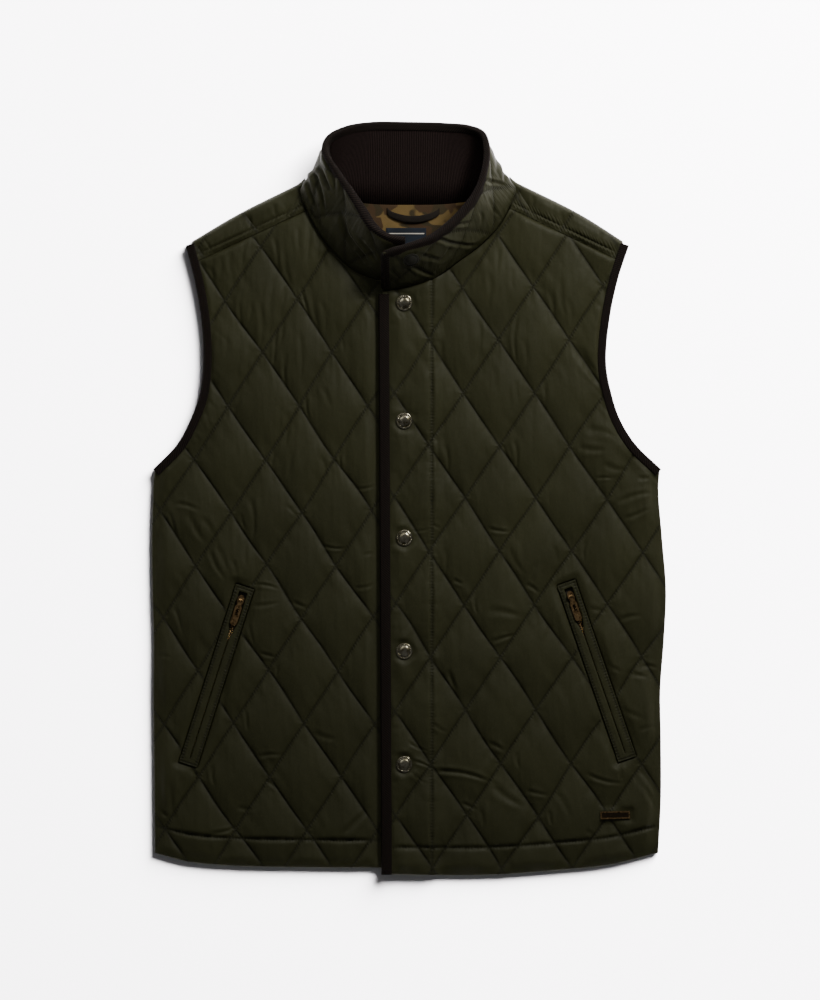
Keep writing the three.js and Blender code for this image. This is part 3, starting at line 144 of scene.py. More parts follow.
# Main creases: both ends, width and depth
CREASES = {
    "right": [
        (-154.8, 199.3, -156.5, 159.1, 5, 0.9), (-143, 227.7, -147.2, 189.2, 5, 0.7),
        (-129.7, 219.3, -138, 175.9, 5, 0.9), (-164.8, 204.2, -171.5, 179.1, 4, 0.8),
        (-178.2, 206, -173.2, 175.9, 4, 0.7), (-113.7, 169.2, -112.9, 132.3, 4.5, 0.9),
        (-139.7, 174.2, -142.8, 139.1, 3.5, 1.2), (-129.7, 149, -129.7, 118.9, 4, 1.2),
        (-133, 189.2, -138, 155.9, 4, 0.8), (-116.2, 283, -114.6, 261.2, 4, 0.8),
        (-102.9, 283, -107.1, 252.8, 5, 0.9), (-94.5, 276.3, -97.9, 246.2, 5, 0.7),
        (-129.7, 257.9, -124.6, 227.7, 5, 0.7), (-141.3, 272.9, -138, 246.2, 4, 0.8),
        (-112.9, 221, -106.3, 195.9, 3.5, 1.1), (-101.2, 212.6, -96.2, 182.5, 5, 0.8),
        (-90.3, 204.2, -87.8, 175.9, 5, 0.7), (-171.5, 269.5, -174.8, 236.1, 4, 1),
        (-196.7, 252.8, -198.5, 232.8, 5, 0.8), (-208.3, 243.1, -205, 227.7, 4, 0.7),
        (-188.3, 257.8, -184.8, 232.8, 5, 0.7), (-191.6, 169.6, -191.1, 151.7, 5, 0.6),
        (-168.1, 149, -171.5, 122.3, 5, 0.7), (-178.2, 105.5, -184.8, 85.6, 5, 0.6),
        (-128.1, 88.7, -129.7, 60.4, 5, 0.7), (-107.8, 105.5, -104.6, 83.8, 3.5, 1),
        (-89.5, 115.6, -83, 97.1, 5, 0.8), (-134.7, 92.1, -136.5, 65.6, 4, 0.6),
        (-213.4, 92.1, -207.5, 75.4, 3.5, 0.8), (-71.1, 167.5, -68.6, 155.9, 4, 0.7),
        (-72.8, 45.3, -71.1, 32, 3, 1), (-141.3, 48.8, -144.9, 32, 4, 0.8), (-56, 242.8, -39.3, 231.1, 4, 1),
        (-49.4, 224.4, -35.9, 209.5, 4, 0.9), (-241.8, -4.5, -221.8, -10.4, 4, 1.1),
        (-250.2, -16.3, -244.3, -36.2, 3.5, 1), (-230.1, -17.9, -215, -44.6, 6, 1),
        (-215, -21.2, -205, -38, 6, 0.8), (-208.3, -54.7, -195, -81.4, 4.5, 1.1),
        (-199.9, -51.3, -191.6, -71.5, 5, 0.8), (-184.9, -64.6, -179.9, -81.4, 3.5, 1.2),
        (-169.8, -44.6, -171.5, -68.1, 5, 0.8), (-164.8, -89.8, -139.7, -92.4, 3.5, 1.2),
        (-161.5, -111.6, -138, -108.3, 4, 0.9), (-168.1, -131.8, -163.2, -151.7, 4, 0.8),
        (-164.8, -4.5, -163.2, -38, 4.5, 1), (-176.5, -16.3, -171.5, -31.3, 4, 0.7),
        (-126.3, -7.9, -117.9, -17.9, 4, 0.6), (-123, 49, -126.3, 25.7, 5, 0.7),
        (-141.3, 37.4, -143, 18.9, 5, 0.6), (-91.1, 42.5, -87.8, 20.6, 5, 0.7), (-87.8, -49.7, -67.7, -51.3, 3, 1),
        (-121.3, -108.3, -104.6, -115, 4, 0.8), (-245.2, -115, -238.5, -138.4, 4, 0.9),
        (-238.5, -79.8, -231.7, -98.2, 5, 0.7), (-265.2, -163.5, -252, -165.2, 4, 0.9),
        (-154.8, -161.8, -139.7, -165.2, 4, 0.8), (-52.6, 10.6, -35.9, 14, 3, 0.9),
        (-46, -58.1, -34.2, -56.4, 3, 0.8), (-54.3, -93.2, -35.9, -88.2, 3.5, 0.8),
        (-171.5, -222.8, -169.8, -241.3, 3.5, 1.2), (-138, -175.9, -139.7, -187.4, 3, 0.9),
        (-206.6, -281.5, -205, -298.2, 4, 1.2), (-224.3, -286.4, -226.8, -303.2, 3.5, 1.1),
        (-250.2, -298.2, -246.9, -331.7, 6, 1), (-265.2, -323.3, -253.6, -333.4, 5, 1.2),
        (-238.5, -293.2, -243.6, -314.9, 5, 0.7), (-205, -350.2, -181.7, -343.4, 4, 0.9),
        (-149.7, -294.8, -139.7, -303.2, 4, 0.9), (-66.2, -348.4, -42.6, -325, 6, 1),
        (-97.9, -246.2, -77.7, -251.4, 6, 0.7), (-156.5, -269.7, -134.7, -268.1, 4, 0.8),
        (-178.2, -323.3, -163.2, -325, 4, 0.7),
    ],
    "left": [
        (85, 232.8, 83.5, 206, 4.5, 0.9), (94.4, 263, 92.7, 236.1, 5, 0.6), (107.7, 239.4, 107.7, 222.7, 5, 0.7),
        (74.2, 185.8, 70.9, 149, 5, 0.8), (112.8, 189.2, 112.8, 144.1, 4, 1.2),
        (121.2, 165.8, 124.5, 142.3, 5, 0.7), (148.8, 216, 152.1, 189.2, 5, 0.9),
        (159.6, 227.7, 163, 195.9, 5, 0.7), (168, 207.7, 169.7, 182.5, 5, 0.6),
        (112.8, 122.3, 114.5, 102.4, 4, 0.9), (91, 135.7, 91, 115.6, 5, 0.6), (111.1, 60.4, 112.8, 32, 4, 1.1),
        (99.3, 55.3, 106.1, 40.4, 3, 1), (39.1, 53.7, 40.7, 28.6, 4, 1.1), (29.1, 65.3, 30.8, 32, 4, 0.7),
        (181.4, 53.7, 204.8, 52, 6, 0.8), (188, 73.7, 213.2, 67, 7, 0.6), (34.1, 165.8, 35.7, 145.7, 5, 0.6),
        (178.1, 155.9, 196.3, 125.5, 8, 1.5), (141.2, 125.5, 142.8, 105.5, 5, 0.7),
        (4, -33.1, 18.9, -31.3, 3, 0.8), (24, -26.2, 32.4, -31.3, 3, 1), (86, -31.3, 104.4, -33.8, 3.5, 1),
        (47.5, -84.8, 55.9, -88.2, 4, 0.9), (39.1, -54.7, 37.4, -79.8, 5, 0.9),
        (69.2, -104.9, 70.9, -118.3, 3.5, 1.2), (87.7, -116.7, 114.5, -121.7, 7, 0.9),
        (89.2, -148.5, 111.1, -141.8, 4, 0.9), (132.8, -68.1, 129.5, -88.2, 6, 0.7),
        (124.5, -89.8, 136.2, -98.2, 4, 0.9), (184.8, -44.6, 183.1, -61.4, 4, 1.1),
        (153, -51.3, 156.3, -68.1, 4, 0.6), (198.1, 22.3, 213.2, 22.3, 3, 0.8), (206.5, 35.7, 228.3, 30.7, 6, 0.8),
        (223.2, -1.2, 253.1, 7.2, 5, 0.9), (230, -19.4, 251.7, -9.6, 4, 1), (241.5, 22.3, 253.1, 23.1, 4, 0.8),
        (221.6, -126.7, 241.5, -121.7, 5, 0.9), (106.1, -53, 119.5, -76.4, 6, 0.7),
        (42.4, -180.3, 45.8, -196.9, 5, 1), (191.4, -115, 206.5, -118.3, 5, 0.7),
        (208.2, -171.9, 221.6, -180.3, 4, 1), (32.1, -285, 84.5, -295.8, 4.5, 1.6),
        (88.2, -301.2, 117.1, -321.1, 8, 1), (57.4, -319.3, 70.1, -324.8, 4, 1),
        (75.5, -326.6, 77.4, -342.8, 4, 0.9), (113.4, -266.9, 115.3, -281.3, 4, 1.3),
        (84.5, -256, 99, -263.2, 5, 1), (126.2, -306.6, 144.3, -310.3, 4, 0.9),
        (147.8, -328.3, 149.6, -341, 3.5, 1.2), (155.1, -308.5, 167.8, -331.9, 6, 0.8),
        (191.1, -290.3, 220.2, -297.7, 4, 1.1), (220.2, -279.5, 223.7, -297.7, 3.5, 1.2),
        (243.6, -285, 258.2, -306.6, 6, 0.9), (249.2, -302.9, 261.8, -326.6, 5, 0.7),
        (247.3, -174.6, 265.4, -178.3, 4, 1.2), (231, -181.9, 247.3, -185.5, 5, 0.9),
        (222, -219.9, 243.6, -228.9, 6, 0.7), (243.6, -241.5, 260, -237.8, 4, 0.7),
        (26.7, -236.1, 37.6, -243.4, 3.5, 1.1), (41.2, -183.6, 48.3, -198.1, 5, 0.8),
        (187.6, -348.1, 196.7, -355.4, 4, 0.8), (1.4, -256, 17.6, -263.2, 3, 0.8), (3.2, -274.1, 24.9, -283, 3, 1),
        (3.2, -286.8, 17.6, -297.7, 3, 0.9), (-13.7, 217.9, 3.2, 213.7, 3, 0.9),
        (-13.7, 196.9, -8.4, 190.6, 3, 0.7),
    ],
}
COLLAR_CREASES = [
    (-96.9, 340, -86.9, 306.5, 4, 1.5), (-90.2, 345.1, -78.5, 323.3, 4, 1.6),
    (-105.3, 336.7, -93.6, 301.5, 4, 1.3), (-83.6, 356.8, -75.2, 323.3, 5, 1.2),
    (-68.5, 298.2, -55.1, 264.7, 5, 1.2), (-63.5, 279.8, -41.7, 249.6, 4, 1.3), (-48.4, 273.1, -33.3, 251.3, 4, 1),
    (-55.1, 259.7, -35, 239.6, 4, 1), (-102, 303.2, -90.2, 281.4, 5, 1), (-86.9, 368.5, -80.2, 346.7, 4, 1),
    (78.8, 333.3, 98.9, 330, 3.5, 1.2), (96.4, 346.7, 97.3, 333.3, 4, 0.8), (28.6, 274.7, 68.8, 268.9, 3.5, 1.5),
    (40.3, 264.7, 29.4, 251.3, 4, 1), (1.8, 246.3, 25.3, 236.2, 3.5, 1.6), (-11.6, 251.3, 3.5, 239.6, 3, 1.1),
    (72.1, 301.5, 73.8, 289.8, 4, 0.8), (48.7, 289.8, 63.8, 291.5, 4, 0.8), (32, 286.5, 48.7, 293.2, 4, 0.8),
    (10.2, 256.3, 32, 253, 4, 0.9), (82.2, 313.2, 92.2, 298.2, 5, 0.7), (87.2, 360.1, 88.9, 343.4, 5, 0.7),
    (-18.3, 242.9, -8.2, 232.9, 3, 0.9),
]
SHOULDER_CREASES = [
    (-214, 272, -209, 262, 4, 0.8), (-168, 300, -166, 284, 4, 0.7), (-142, 309, -139, 297, 5, 0.8),
    (131, 317, 128, 303, 4, 0.7), (160, 303, 163, 288, 5, 0.8), (202, 280, 199, 268, 4, 0.7),
]
BACK_CREASES = [
    (-150, 210, -158, 170, 6, 0.7), (-60, 250, -66, 205, 7, 0.8), (35, 236, 30, 190, 6, 0.7),
    (120, 180, 128, 140, 6, 0.8), (-190, 20, -160, 5, 6, 0.8), (-90, -30, -92, -75, 6, 0.7),
    (60, -60, 66, -100, 6, 0.7), (170, 40, 200, 30, 6, 0.7), (-215, -160, -185, -172, 6, 0.8),
    (205, -210, 232, -220, 6, 0.8), (-30, -290, 10, -300, 7, 0.8), (110, -320, 140, -332, 6, 0.7),
]

# The collar, section by section from the lapping end round the neck to the end underneath
COLLAR_SEAM = [
    (-27.5, 220.2, 11.6), (1, 225, 11.4), (26, 233.4, 10.4), (53.4, 252.6, 9), (74.6, 268.2, 8.6),
    (91.6, 285, 8.4), (104, 306, 8.2), (110.5, 326.5, 7.2), (100.5, 326, 4.2), (82.5, 315.6, 3.1),
    (43, 309.2, 2.9), (0, 308, 2.9), (-43, 309.2, 2.9), (-84, 315.6, 3.1), (-104, 325.5, 4.2), (-112.6, 324, 7.2),
    (-106.2, 302.4, 8.2), (-94.2, 279.6, 8.4), (-77.8, 258.6, 8.4), (-59.4, 242.6, 8.4), (-35, 232.2, 8.6),
    (-5.6, 228.6, 8.4),
]
COLLAR_WAIST = [
    (-27.5, 233.2, 27), (1, 238.5, 28), (25, 247.5, 27.5), (50.5, 266.5, 26), (69.5, 283, 24.5), (83.5, 300, 23),
    (92.5, 320, 21), (96.5, 341, 17.5), (89.5, 350.5, 11), (73, 348.5, 8), (41, 346.5, 6.4), (0, 346, 6.2),
    (-43, 346.5, 6.4), (-75.5, 348.5, 8), (-93, 350, 11.5), (-98.5, 343.5, 18), (-91.5, 321.5, 22),
    (-79, 300.5, 24), (-64.5, 279, 26), (-50, 262.5, 27), (-31, 250, 26.5), (-5, 244.8, 24.4),
]
COLLAR_TOP = [
    (-27.5, 258, 53), (3, 266.5, 55), (26, 274.8, 55), (47, 290, 53), (62, 307, 50), (72.5, 325, 46),
    (79, 347, 40.5), (81, 368, 34), (77, 383, 26.5), (62.5, 390.2, 18.5), (39, 393, 12), (0, 394.2, 10.4),
    (-41, 394, 12), (-66.5, 389, 18.5), (-84.5, 378.5, 26.5), (-88.6, 364.5, 34), (-74.5, 342, 41), (-62, 322, 46),
    (-50.5, 303, 50), (-40, 287.5, 51.5), (-24, 276, 50.5), (-4, 272, 49),
]
WAIST_SHARE = 0.3
HALF_GAP = 0.15
FACING = 1.5
SHELL_MIN, SHELL_MAX = 1.9, 4.4
COLLAR_SNAP_AT = (0.047, 0.66, 4.0)
MAP_LENGTH, MAP_WIDTH = 760.0, 62.0  # the collar's map, whose length is drawn out
FACING_WALE = 1.65  # millimetres on the collar's map
COLLAR_ROWS = 38.0  # distance between its quilted rows on that map


# Curves and distances

def ease(t):
    s = np.clip(t, 0.0, 1.0)
    return s * s * (3 - 2 * s)


def rounded(t):
    """A quarter circle's rise from 0 to 1."""
    s = np.clip(t, 0, 1)
    return np.sqrt(s * (2 - s))


def blend_to(a, b, t):
    return a + (b - a) * t


def unit(vectors):
    return vectors / np.linalg.norm(vectors, axis=1)[:, None]


def run_along(line):
    """The distance run at each point of a line."""
    return np.concatenate([[0], np.cumsum(np.linalg.norm(np.diff(line, axis=0), axis=1))])


def smooth_curve(rows, t):
    """Places at t, from 0 to 1, on the smooth curve through the rows."""
    rows = np.asarray(rows, float)
    padded = np.concatenate([[2 * rows[0] - rows[1]], rows, [2 * rows[-1] - rows[-2]]])
    place = np.clip(np.atleast_1d(np.asarray(t, float)), 0, 1) * (len(rows) - 1)
    k = np.minimum(place.astype(int), len(rows) - 2)
    w = (place - k)[:, None]
    p = [padded[k + n] for n in range(4)]
    steps = [np.maximum(np.sum((p[n + 1] - p[n]) ** 2, axis=1) ** 0.25, 1e-4)[:, None] for n in range(3)]
    start = (p[1] - p[0]) / steps[0] - (p[2] - p[0]) / (steps[0] + steps[1]) + (p[2] - p[1]) / steps[1]
    end = (p[2] - p[1]) / steps[1] - (p[3] - p[1]) / (steps[1] + steps[2]) + (p[3] - p[2]) / steps[2]
    start, end = start * steps[1], end * steps[1]
    cubic = 2 * p[1] - 2 * p[2] + start + end
    square = -3 * p[1] + 3 * p[2] - 2 * start - end
    return p[1] + w * (start + w * (square + w * cubic))


def even_points(line, spacing):
    line = np.asarray(line, float)
    run = run_along(line)
    at = np.linspace(0, run[-1], max(2, int(round(run[-1] / spacing)) + 1))
    return np.stack([np.interp(at, run, line[:, k]) for k in range(line.shape[1])], axis=1)


def line_through(rows, spacing=2.0):
    """Points along the smooth curve through the rows, about that far apart."""
    return even_points(smooth_curve(rows, np.linspace(0, 1, 40 * len(rows))), spacing)


def closed_line(ring):
    return np.concatenate([ring, ring[:1]])


def ring_of(corners, spacing):
    """Points round a closed outline, about that far apart."""
    return even_points(closed_line(corners), spacing)[:-1]


def rectangle(width, length):
    return [(-width / 2, -length / 2), (width / 2, -length / 2), (width / 2, length / 2), (-width / 2, length / 2)]


def distance_to(line, x, y):
    best = np.full(np.shape(x), np.inf)
    line = np.asarray(line, float)
    for (ax, ay), (bx, by) in zip(line[:-1], line[1:]):
        dx, dy = bx - ax, by - ay
        t = np.clip(((x - ax) * dx + (y - ay) * dy) / (dx * dx + dy * dy), 0, 1)
        best = np.minimum(best, np.hypot(x - ax - t * dx, y - ay - t * dy))
    return best


def inside(outline, x, y):
    found = np.zeros(np.shape(x), bool)
    for (ax, ay), (bx, by) in zip(outline, np.roll(outline, -1, axis=0)):
        if ay == by:
            continue
        crosses = (ay > y) != (by > y)
        found ^= crosses & (x < (bx - ax) * (y - ay) / (by - ay) + ax)
    return found


def uneven(seed, t):
    """A smooth uneven line: noise of one variable, from -1 to 1."""
    table = np.random.default_rng(seed).uniform(-1, 1, 512)
    k = np.floor(t).astype(int)
    return blend_to(table[k % 512], table[(k + 1) % 512], ease(t - k))


def uneven_field(seed, x, y):
    """Smooth noise of two variables, from -1 to 1."""
    table = np.random.default_rng(seed).uniform(-1, 1, (64, 64))
    kx, ky = np.floor(x).astype(int), np.floor(y).astype(int)
    low, high = (blend_to(table[kx % 64, row % 64], table[(kx + 1) % 64, row % 64], ease(x - kx))
                 for row in (ky, ky + 1))
    return blend_to(low, high, ease(y - ky))


def crease_relief(rows, x, y):
    """Soft troughs with a low ridge on each side, fading out towards both ends."""
    relief = np.zeros(np.shape(x))
    for n, (ax, ay, bx, by, width, depth) in enumerate(rows):
        length = math.hypot(bx - ax, by - ay)
        ux, uy = (bx - ax) / length, (by - ay) / length
        along = ((x - ax) * ux + (y - ay) * uy) / length
        near = (along > -0.25) & (along < 1.25)
        bend = 0.06 * length * math.sin(2.4 * n + 1.0)
        t = along[near]
        off = (x[near] - ax) * -uy + (y[near] - ay) * ux - bend * np.sin(math.pi * t)
        half = width * 0.5 * (1.0 - 0.35 * np.clip(t, 0, 1))
        trough = -np.exp(-(off / half) ** 2)
        ridge = 0.4 * np.exp(-((np.abs(off) - 2.1 * half) / (1.1 * half)) ** 2)
        fade = ease((t + 0.25) / 0.4) * ease((1.25 - t) / 0.6)
        relief[near] += depth * fade * (trough + ridge)
    return relief


# Meshes

def make_piece(name, points, faces, material, slot, stands_for=None, cloth_uv=None, seam_uv=None):
    """A smooth mesh from points in the drawing's millimetres. Its maps hold millimetres of cloth."""
    mesh = bpy.data.meshes.new(name)
    mesh.from_pydata((np.asarray(points) * MM + SHIFT).tolist(), [], [list(map(int, f)) for f in faces])
    mesh.polygons.foreach_set("use_smooth", np.ones(len(mesh.polygons), bool))
    corner = np.empty(len(mesh.loops), int)
    mesh.loops.foreach_get("vertex_index", corner)
    for key, values in (("cloth", cloth_uv), ("seams", seam_uv)):
        if values is not None:
            layer = mesh.uv_layers.new(name=key)
            layer.data.foreach_set("uv", np.asarray(values, np.float32)[corner].ravel())
    mesh.validate()
    mesh.materials.append(material)
    piece = bpy.data.objects.new(name, mesh)
    bpy.context.scene.collection.objects.link(piece)
    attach(piece, "vest")
    if stands_for:
        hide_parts(stands_for)
    return piece


def joined(parts):
    """One list of points and one of faces from several."""
    points, faces, start = [], [], 0
    for p, f in parts:
        points.append(np.asarray(p, float))
        faces += [[n + start for n in face] for face in f]
        start += len(p)
    return np.concatenate(points), faces


def ring_faces(rings, size):
    """Faces between rings of points, with the first and last ring closed."""
    faces = []
    for k in range(rings - 1):
        for m in range(size):
            a, b = k * size + m, k * size + (m + 1) % size
            faces.append([a, b, b + size, a + size])
    return faces + [list(range(size))[::-1], [(rings - 1) * size + m for m in range(size)]]


def wall_faces(columns, rows):
    """Faces of a closed wall between two grids of points, given one after the other."""
    size = rows + 1
    half = size * (columns + 1)
    p = (np.arange(columns)[:, None] * size + np.arange(rows)).ravel()
    quads = np.stack([p, p + size, p + size + 1, p + 1], axis=1)
    rim = ([k * size for k in range(columns)] + [columns * size + k for k in range(rows)]
           + [k * size + rows for k in range(columns, 0, -1)] + list(range(rows, 0, -1)))
    edge = [[b, a, half + a, half + b] for a, b in zip(rim, rim[1:] + rim[:1])]
    return quads.tolist() + (quads[:, ::-1] + half).tolist() + edge


def outward(points, faces):
    """The faces turned to look outwards."""
    p = np.asarray(points)
    volume = 0.0
    for f in faces:
        for a, b in zip(f[1:-1], f[2:]):
            volume += np.dot(p[f[0]], np.cross(p[a], p[b]))
    return faces if volume > 0 else [f[::-1] for f in faces]


def level(height):
    """The height of a level face at any place."""
    return lambda x, y: np.full_like(x, height)


# Quilting

def wander(x, y):
    """How far the sewn lines stray from straight ones."""
    return [2.0 * uneven_field(seed, x / 64, y / 64) for seed in (81, 82)]


def lattice_place(lattice, x, y):
    straight_x, straight_y = x, y
    for _ in range(3):
        dx, dy = wander(straight_x, straight_y)
        straight_x, straight_y = x - dx, y - dy
    across = (straight_x - lattice[0] + lattice[2] * (straight_y - lattice[1])) / HALF_WIDTH
    along = (straight_y - lattice[1]) / HALF_HEIGHT
    return (across + along) / 2, (across - along) / 2


def lattice_point(lattice, i, j):
    y = lattice[1] + (i - j) * HALF_HEIGHT
    x = lattice[0] + (i + j) * HALF_WIDTH - lattice[2] * (y - lattice[1])
    dx, dy = wander(x, y)
    return x + dx, y + dy


def lattice_span(lattice, outline):
    """The first and last line of each family that an outline may reach."""
    (low_x, low_y), (high_x, high_y) = outline.min(axis=0), outline.max(axis=0)
    corners = [lattice_place(lattice, x, y) for x in (low_x, high_x) for y in (low_y, high_y)]
    return [(math.floor(min(c[k] for c in corners)), math.ceil(max(c[k] for c in corners))) for k in (0, 1)]


def puff(place):
    return np.sin(math.pi * (place - np.floor(place))) ** 0.5


def quilt_relief(lattice, x, y, seed):
    """The padding's height from 0 to 1, the small puckers beside the stitch lines in millimetres, and the place
    beside the nearest stitch line: the run along it and the distance from it."""
    i, j = lattice_place(lattice, x, y)
    off_i, off_j = np.abs(i - np.round(i)) * ROW_SPACING, np.abs(j - np.round(j)) * ROW_SPACING
    run_i, run_j = j * DIAMOND_SIDE, i * DIAMOND_SIDE
    pucker = np.zeros_like(x)
    for off, run, row, strength in ((off_i, run_i, np.round(i), 0.75), (off_j, run_j, np.round(j), 1.0)):
        for wave, reach, height in PUCKERS:
            lines = uneven(seed + int(wave), run / wave + 37.0 * row)
            pucker += strength * height * lines * (off / reach) * np.exp(1 - off / reach)
    knot = np.hypot(off_i, off_j)
    angle = np.arctan2(j - np.round(j), i - np.round(i))
    pucker += 0.3 * np.cos(7 * angle + 3 * np.round(i)) * np.clip(knot / 3, 0, 1) * np.exp(-knot / 6)
    on_i = off_i < off_j
    return puff(i) * puff(j), pucker, np.where(on_i, run_i + OTHER_ROWS, run_j), np.where(on_i, off_i, off_j)


def seam_map(lattice, x, y, extra=()):
    """Run along and distance from the nearest line of stitches, for the finish's puckers and its painted shade."""
    _, _, run, near = quilt_relief(lattice, x, y, 1)
    for line_run, line_off in extra:
        closer = line_off < near
        run, near = np.where(closer, line_run, run), np.where(closer, line_off, near)
    return np.column_stack([run, near])


def lattice_points(lattice, outline, count):
    """Points that follow the stitch lines and crowd towards them."""
    share = np.arange(count) / count
    share = share - 0.07 * np.sin(2 * math.pi * share)
    steps = [(np.arange(first, last)[:, None] + share).ravel() for first, last in lattice_span(lattice, outline)]
    i, j = np.meshgrid(*steps, indexing="ij")
    points = np.stack(lattice_point(lattice, i.ravel(), j.ravel()), axis=1)
    return points[np.all((points > outline.min(axis=0)) & (points < outline.max(axis=0)), axis=1)]


def grid_points(outline, spacing):
    low, high = outline.min(axis=0), outline.max(axis=0)
    xs, ys = np.meshgrid(np.arange(low[0], high[0], spacing), np.arange(low[1], high[1], spacing))
    return np.stack([xs.ravel(), ys.ravel()], axis=1)


# Sheets

def inset(ring, distance):
    """A closed outline moved inwards, for the rows of points that round its edge."""
    ring = np.asarray(ring, float)
    heading = unit(np.roll(ring, -1, axis=0) - np.roll(ring, 1, axis=0))
    left = np.stack([-heading[:, 1], heading[:, 0]], axis=1)
    area = np.sum(ring[:, 0] * np.roll(ring[:, 1], -1) - np.roll(ring[:, 0], -1) * ring[:, 1])
    return ring + left * distance * (1 if area > 0 else -1)


def within(rings, points, margin):
    """The points inside the first ring and outside the others, with a margin to all of them."""
    keep = inside(rings[0], *points.T)
    for n, ring in enumerate(rings):
        keep[keep] &= distance_to(closed_line(ring), *points[keep].T) > margin
        if n:
            keep &= ~inside(ring, *points.T)
    return points[keep]


def triangulated(rings, points):
    """Triangles over the points inside the first ring and outside the others, with every ring an edge."""
    rows = np.concatenate([*rings, points])
    edges, start = [], 0
    for ring in rings:
        edges += [(start + n, start + (n + 1) % len(ring)) for n in range(len(ring))]
        start += len(ring)
    found = delaunay_2d_cdt([Vector(p) for p in rows], edges, [], 0, 1e-5, False)
    flat = np.array([tuple(v) for v in found[0]])
    faces = np.array([f for f in found[2] if len(f) == 3])
    centre = flat[faces].mean(axis=1)
    keep = inside(rings[0], *centre.T)
    for hole in rings[1:]:
        keep &= ~inside(hole, *centre.T)
    used, faces = np.unique(faces[keep], return_inverse=True)
    return flat[used], faces.reshape(-1, 3)


def boundary(faces):
    """Directed edges that only one triangle has."""
    edges = np.concatenate([faces[:, [0, 1]], faces[:, [1, 2]], faces[:, [2, 0]]])
    have = {(int(a), int(b)) for a, b in edges}
    return [(a, b) for a, b in have if (b, a) not in have]


def sheet_mesh(rings, points, top, bottom, edge_rows=(0.5, 1.2, 2.2)):
    """A closed sheet over the rings: its upper face has the given points and height, its plain lower face has
    the rings' alone and a loose grid."""
    edge_points = [inset(ring, d if n == 0 else -d) for n, ring in enumerate(rings) for d in edge_rows]
    flat, faces = triangulated(rings, np.concatenate([*edge_points, within(rings, points, edge_rows[-1] + 0.8)]))
    upper = np.column_stack([flat, top(*flat.T)])
    flat_low, faces_low = triangulated(rings, within(rings, grid_points(rings[0], 14.0), 3.0))
    lower = np.column_stack([flat_low, bottom(*flat_low.T)])
    start = len(upper)
    place = {(round(x, 4), round(y, 4)): start + n for n, (x, y) in enumerate(flat_low)}
    walls = []
    for a, b in boundary(faces):
        below = [place[(round(flat[n, 0], 4), round(flat[n, 1], 4))] for n in (a, b)]
        walls.append([b, a, *below])
    return np.concatenate([upper, lower]), faces.tolist() + (faces_low[:, ::-1] + start).tolist() + walls


# Lines of the vest

def turned_by(rows, angle, centre):
    """Flat rows turned about the origin and set down at a centre."""
    rows = np.asarray(rows, float)
    return np.stack([
        centre[0] + rows[:, 0] * math.cos(angle) - rows[:, 1] * math.sin(angle),
        centre[1] + rows[:, 0] * math.sin(angle) + rows[:, 1] * math.cos(angle),
    ], axis=1)


def pocket_points(side, rows):
    """Rows of a pocket's own frame, x across the welt and y along it, in the drawing."""
    return turned_by(rows, math.radians(POCKETS[side][2]), POCKETS[side])


SIDE = {s: line_through(list(zip(SIDE_XS[s], SIDE_YS))) for s in SIDES}
ARMHOLE = {s: line_through(list(zip(ARMHOLE_XS[s], ARMHOLE_YS))) for s in SIDES}
FOLD, SEAM, NECK, HEM_LINE = ({s: line_through(rows[s]) for s in SIDES}
                              for rows in (SHOULDER_FOLD, SHOULDER_SEAM, NECK_SEAM, HEM))
NECK_BACK = line_through(NECK_SEAM_BACK)
WINDOW_CORNERS = {s: closed_line(pocket_points(s, rectangle(WELT_WIDTH + 0.6, WELT_LENGTH + 0.6))) for s in SIDES}
WINDOW = {s: even_points(WINDOW_CORNERS[s], 2.0)[:-1] for s in SIDES}
HEM_STITCHES = {s: HEM_LINE[s] + [0, HEM_DEPTH] for s in SIDES}


def tucked_armhole(side, low, high):
    """An armhole's line between two heights, moved inwards under its binding."""
    line = ARMHOLE[side] - [HAND[side] * TUCK, 0]
    return line[(line[:, 1] > low) & (line[:, 1] < high)]


def lap_edge_x(y):
    """Where the over front's edge is, before its binding."""
    (low_x, low_y), (high_x, high_y) = LAP_EDGE
    return low_x + (y - low_y) * (high_x - low_x) / (high_y - low_y)


def front_outline(side):
    start = ARMHOLE[side][0] - [HAND[side] * TUCK, 0.6]
    arm = np.concatenate([[start], tucked_armhole(side, 36, SHOULDER_SEAM[side][0][1] - 1)])
    seam = SEAM[side]
    seam = seam[np.abs(seam[:, 0]) < abs(arm[-1, 0]) - 1]
    hem, neck = HEM_LINE[side], NECK[side][::-1]
    if side == "left":
        lap_low = (LAP_EDGE[0][0] + TUCK - ROLL_OUT, HEM["left"][0][1])
        lap_high = (LAP_EDGE[1][0] + TUCK - ROLL_OUT, NECK["left"][0][1] + 0.4)
        return np.concatenate([[lap_low], hem[hem[:, 0] > lap_low[0] + 1], SIDE["left"][1:], arm, seam,
                               neck[1:][neck[1:, 0] > lap_high[0] + 1], even_points([lap_high, lap_low], 2.5)[:-1]])
    inner = even_points([(UNDERLAP_X, HEM["right"][-1][1]), (UNDERLAP_X, 218.5)], 2.5)
    return np.concatenate([hem[:-1], inner, neck, seam[::-1][1:], arm[::-1], SIDE["right"][::-1][1:-1]])


# Padding

def lift_left(x):
    """How far the left front stands up where it laps over the right one."""
    return (LAP_FLOOR - FRONT_FLOOR) * (1 - ease((x - 21.0) / 16.0))


def sink(thickness, off, floor, reach):
    """Padding that is held down to floor on a line and swells away from it."""
    return np.where(off < reach, blend_to(floor, thickness, rounded(off / reach)), thickness)


def binding_mouth(thick, off, width):
    """Padding squeezed to the mouth of a binding and swelling out of it."""
    return np.where(off < width + 5.2, blend_to(MOUTH_CLOTH, thick, rounded((off - width - 0.2) / 5.0)), thick)


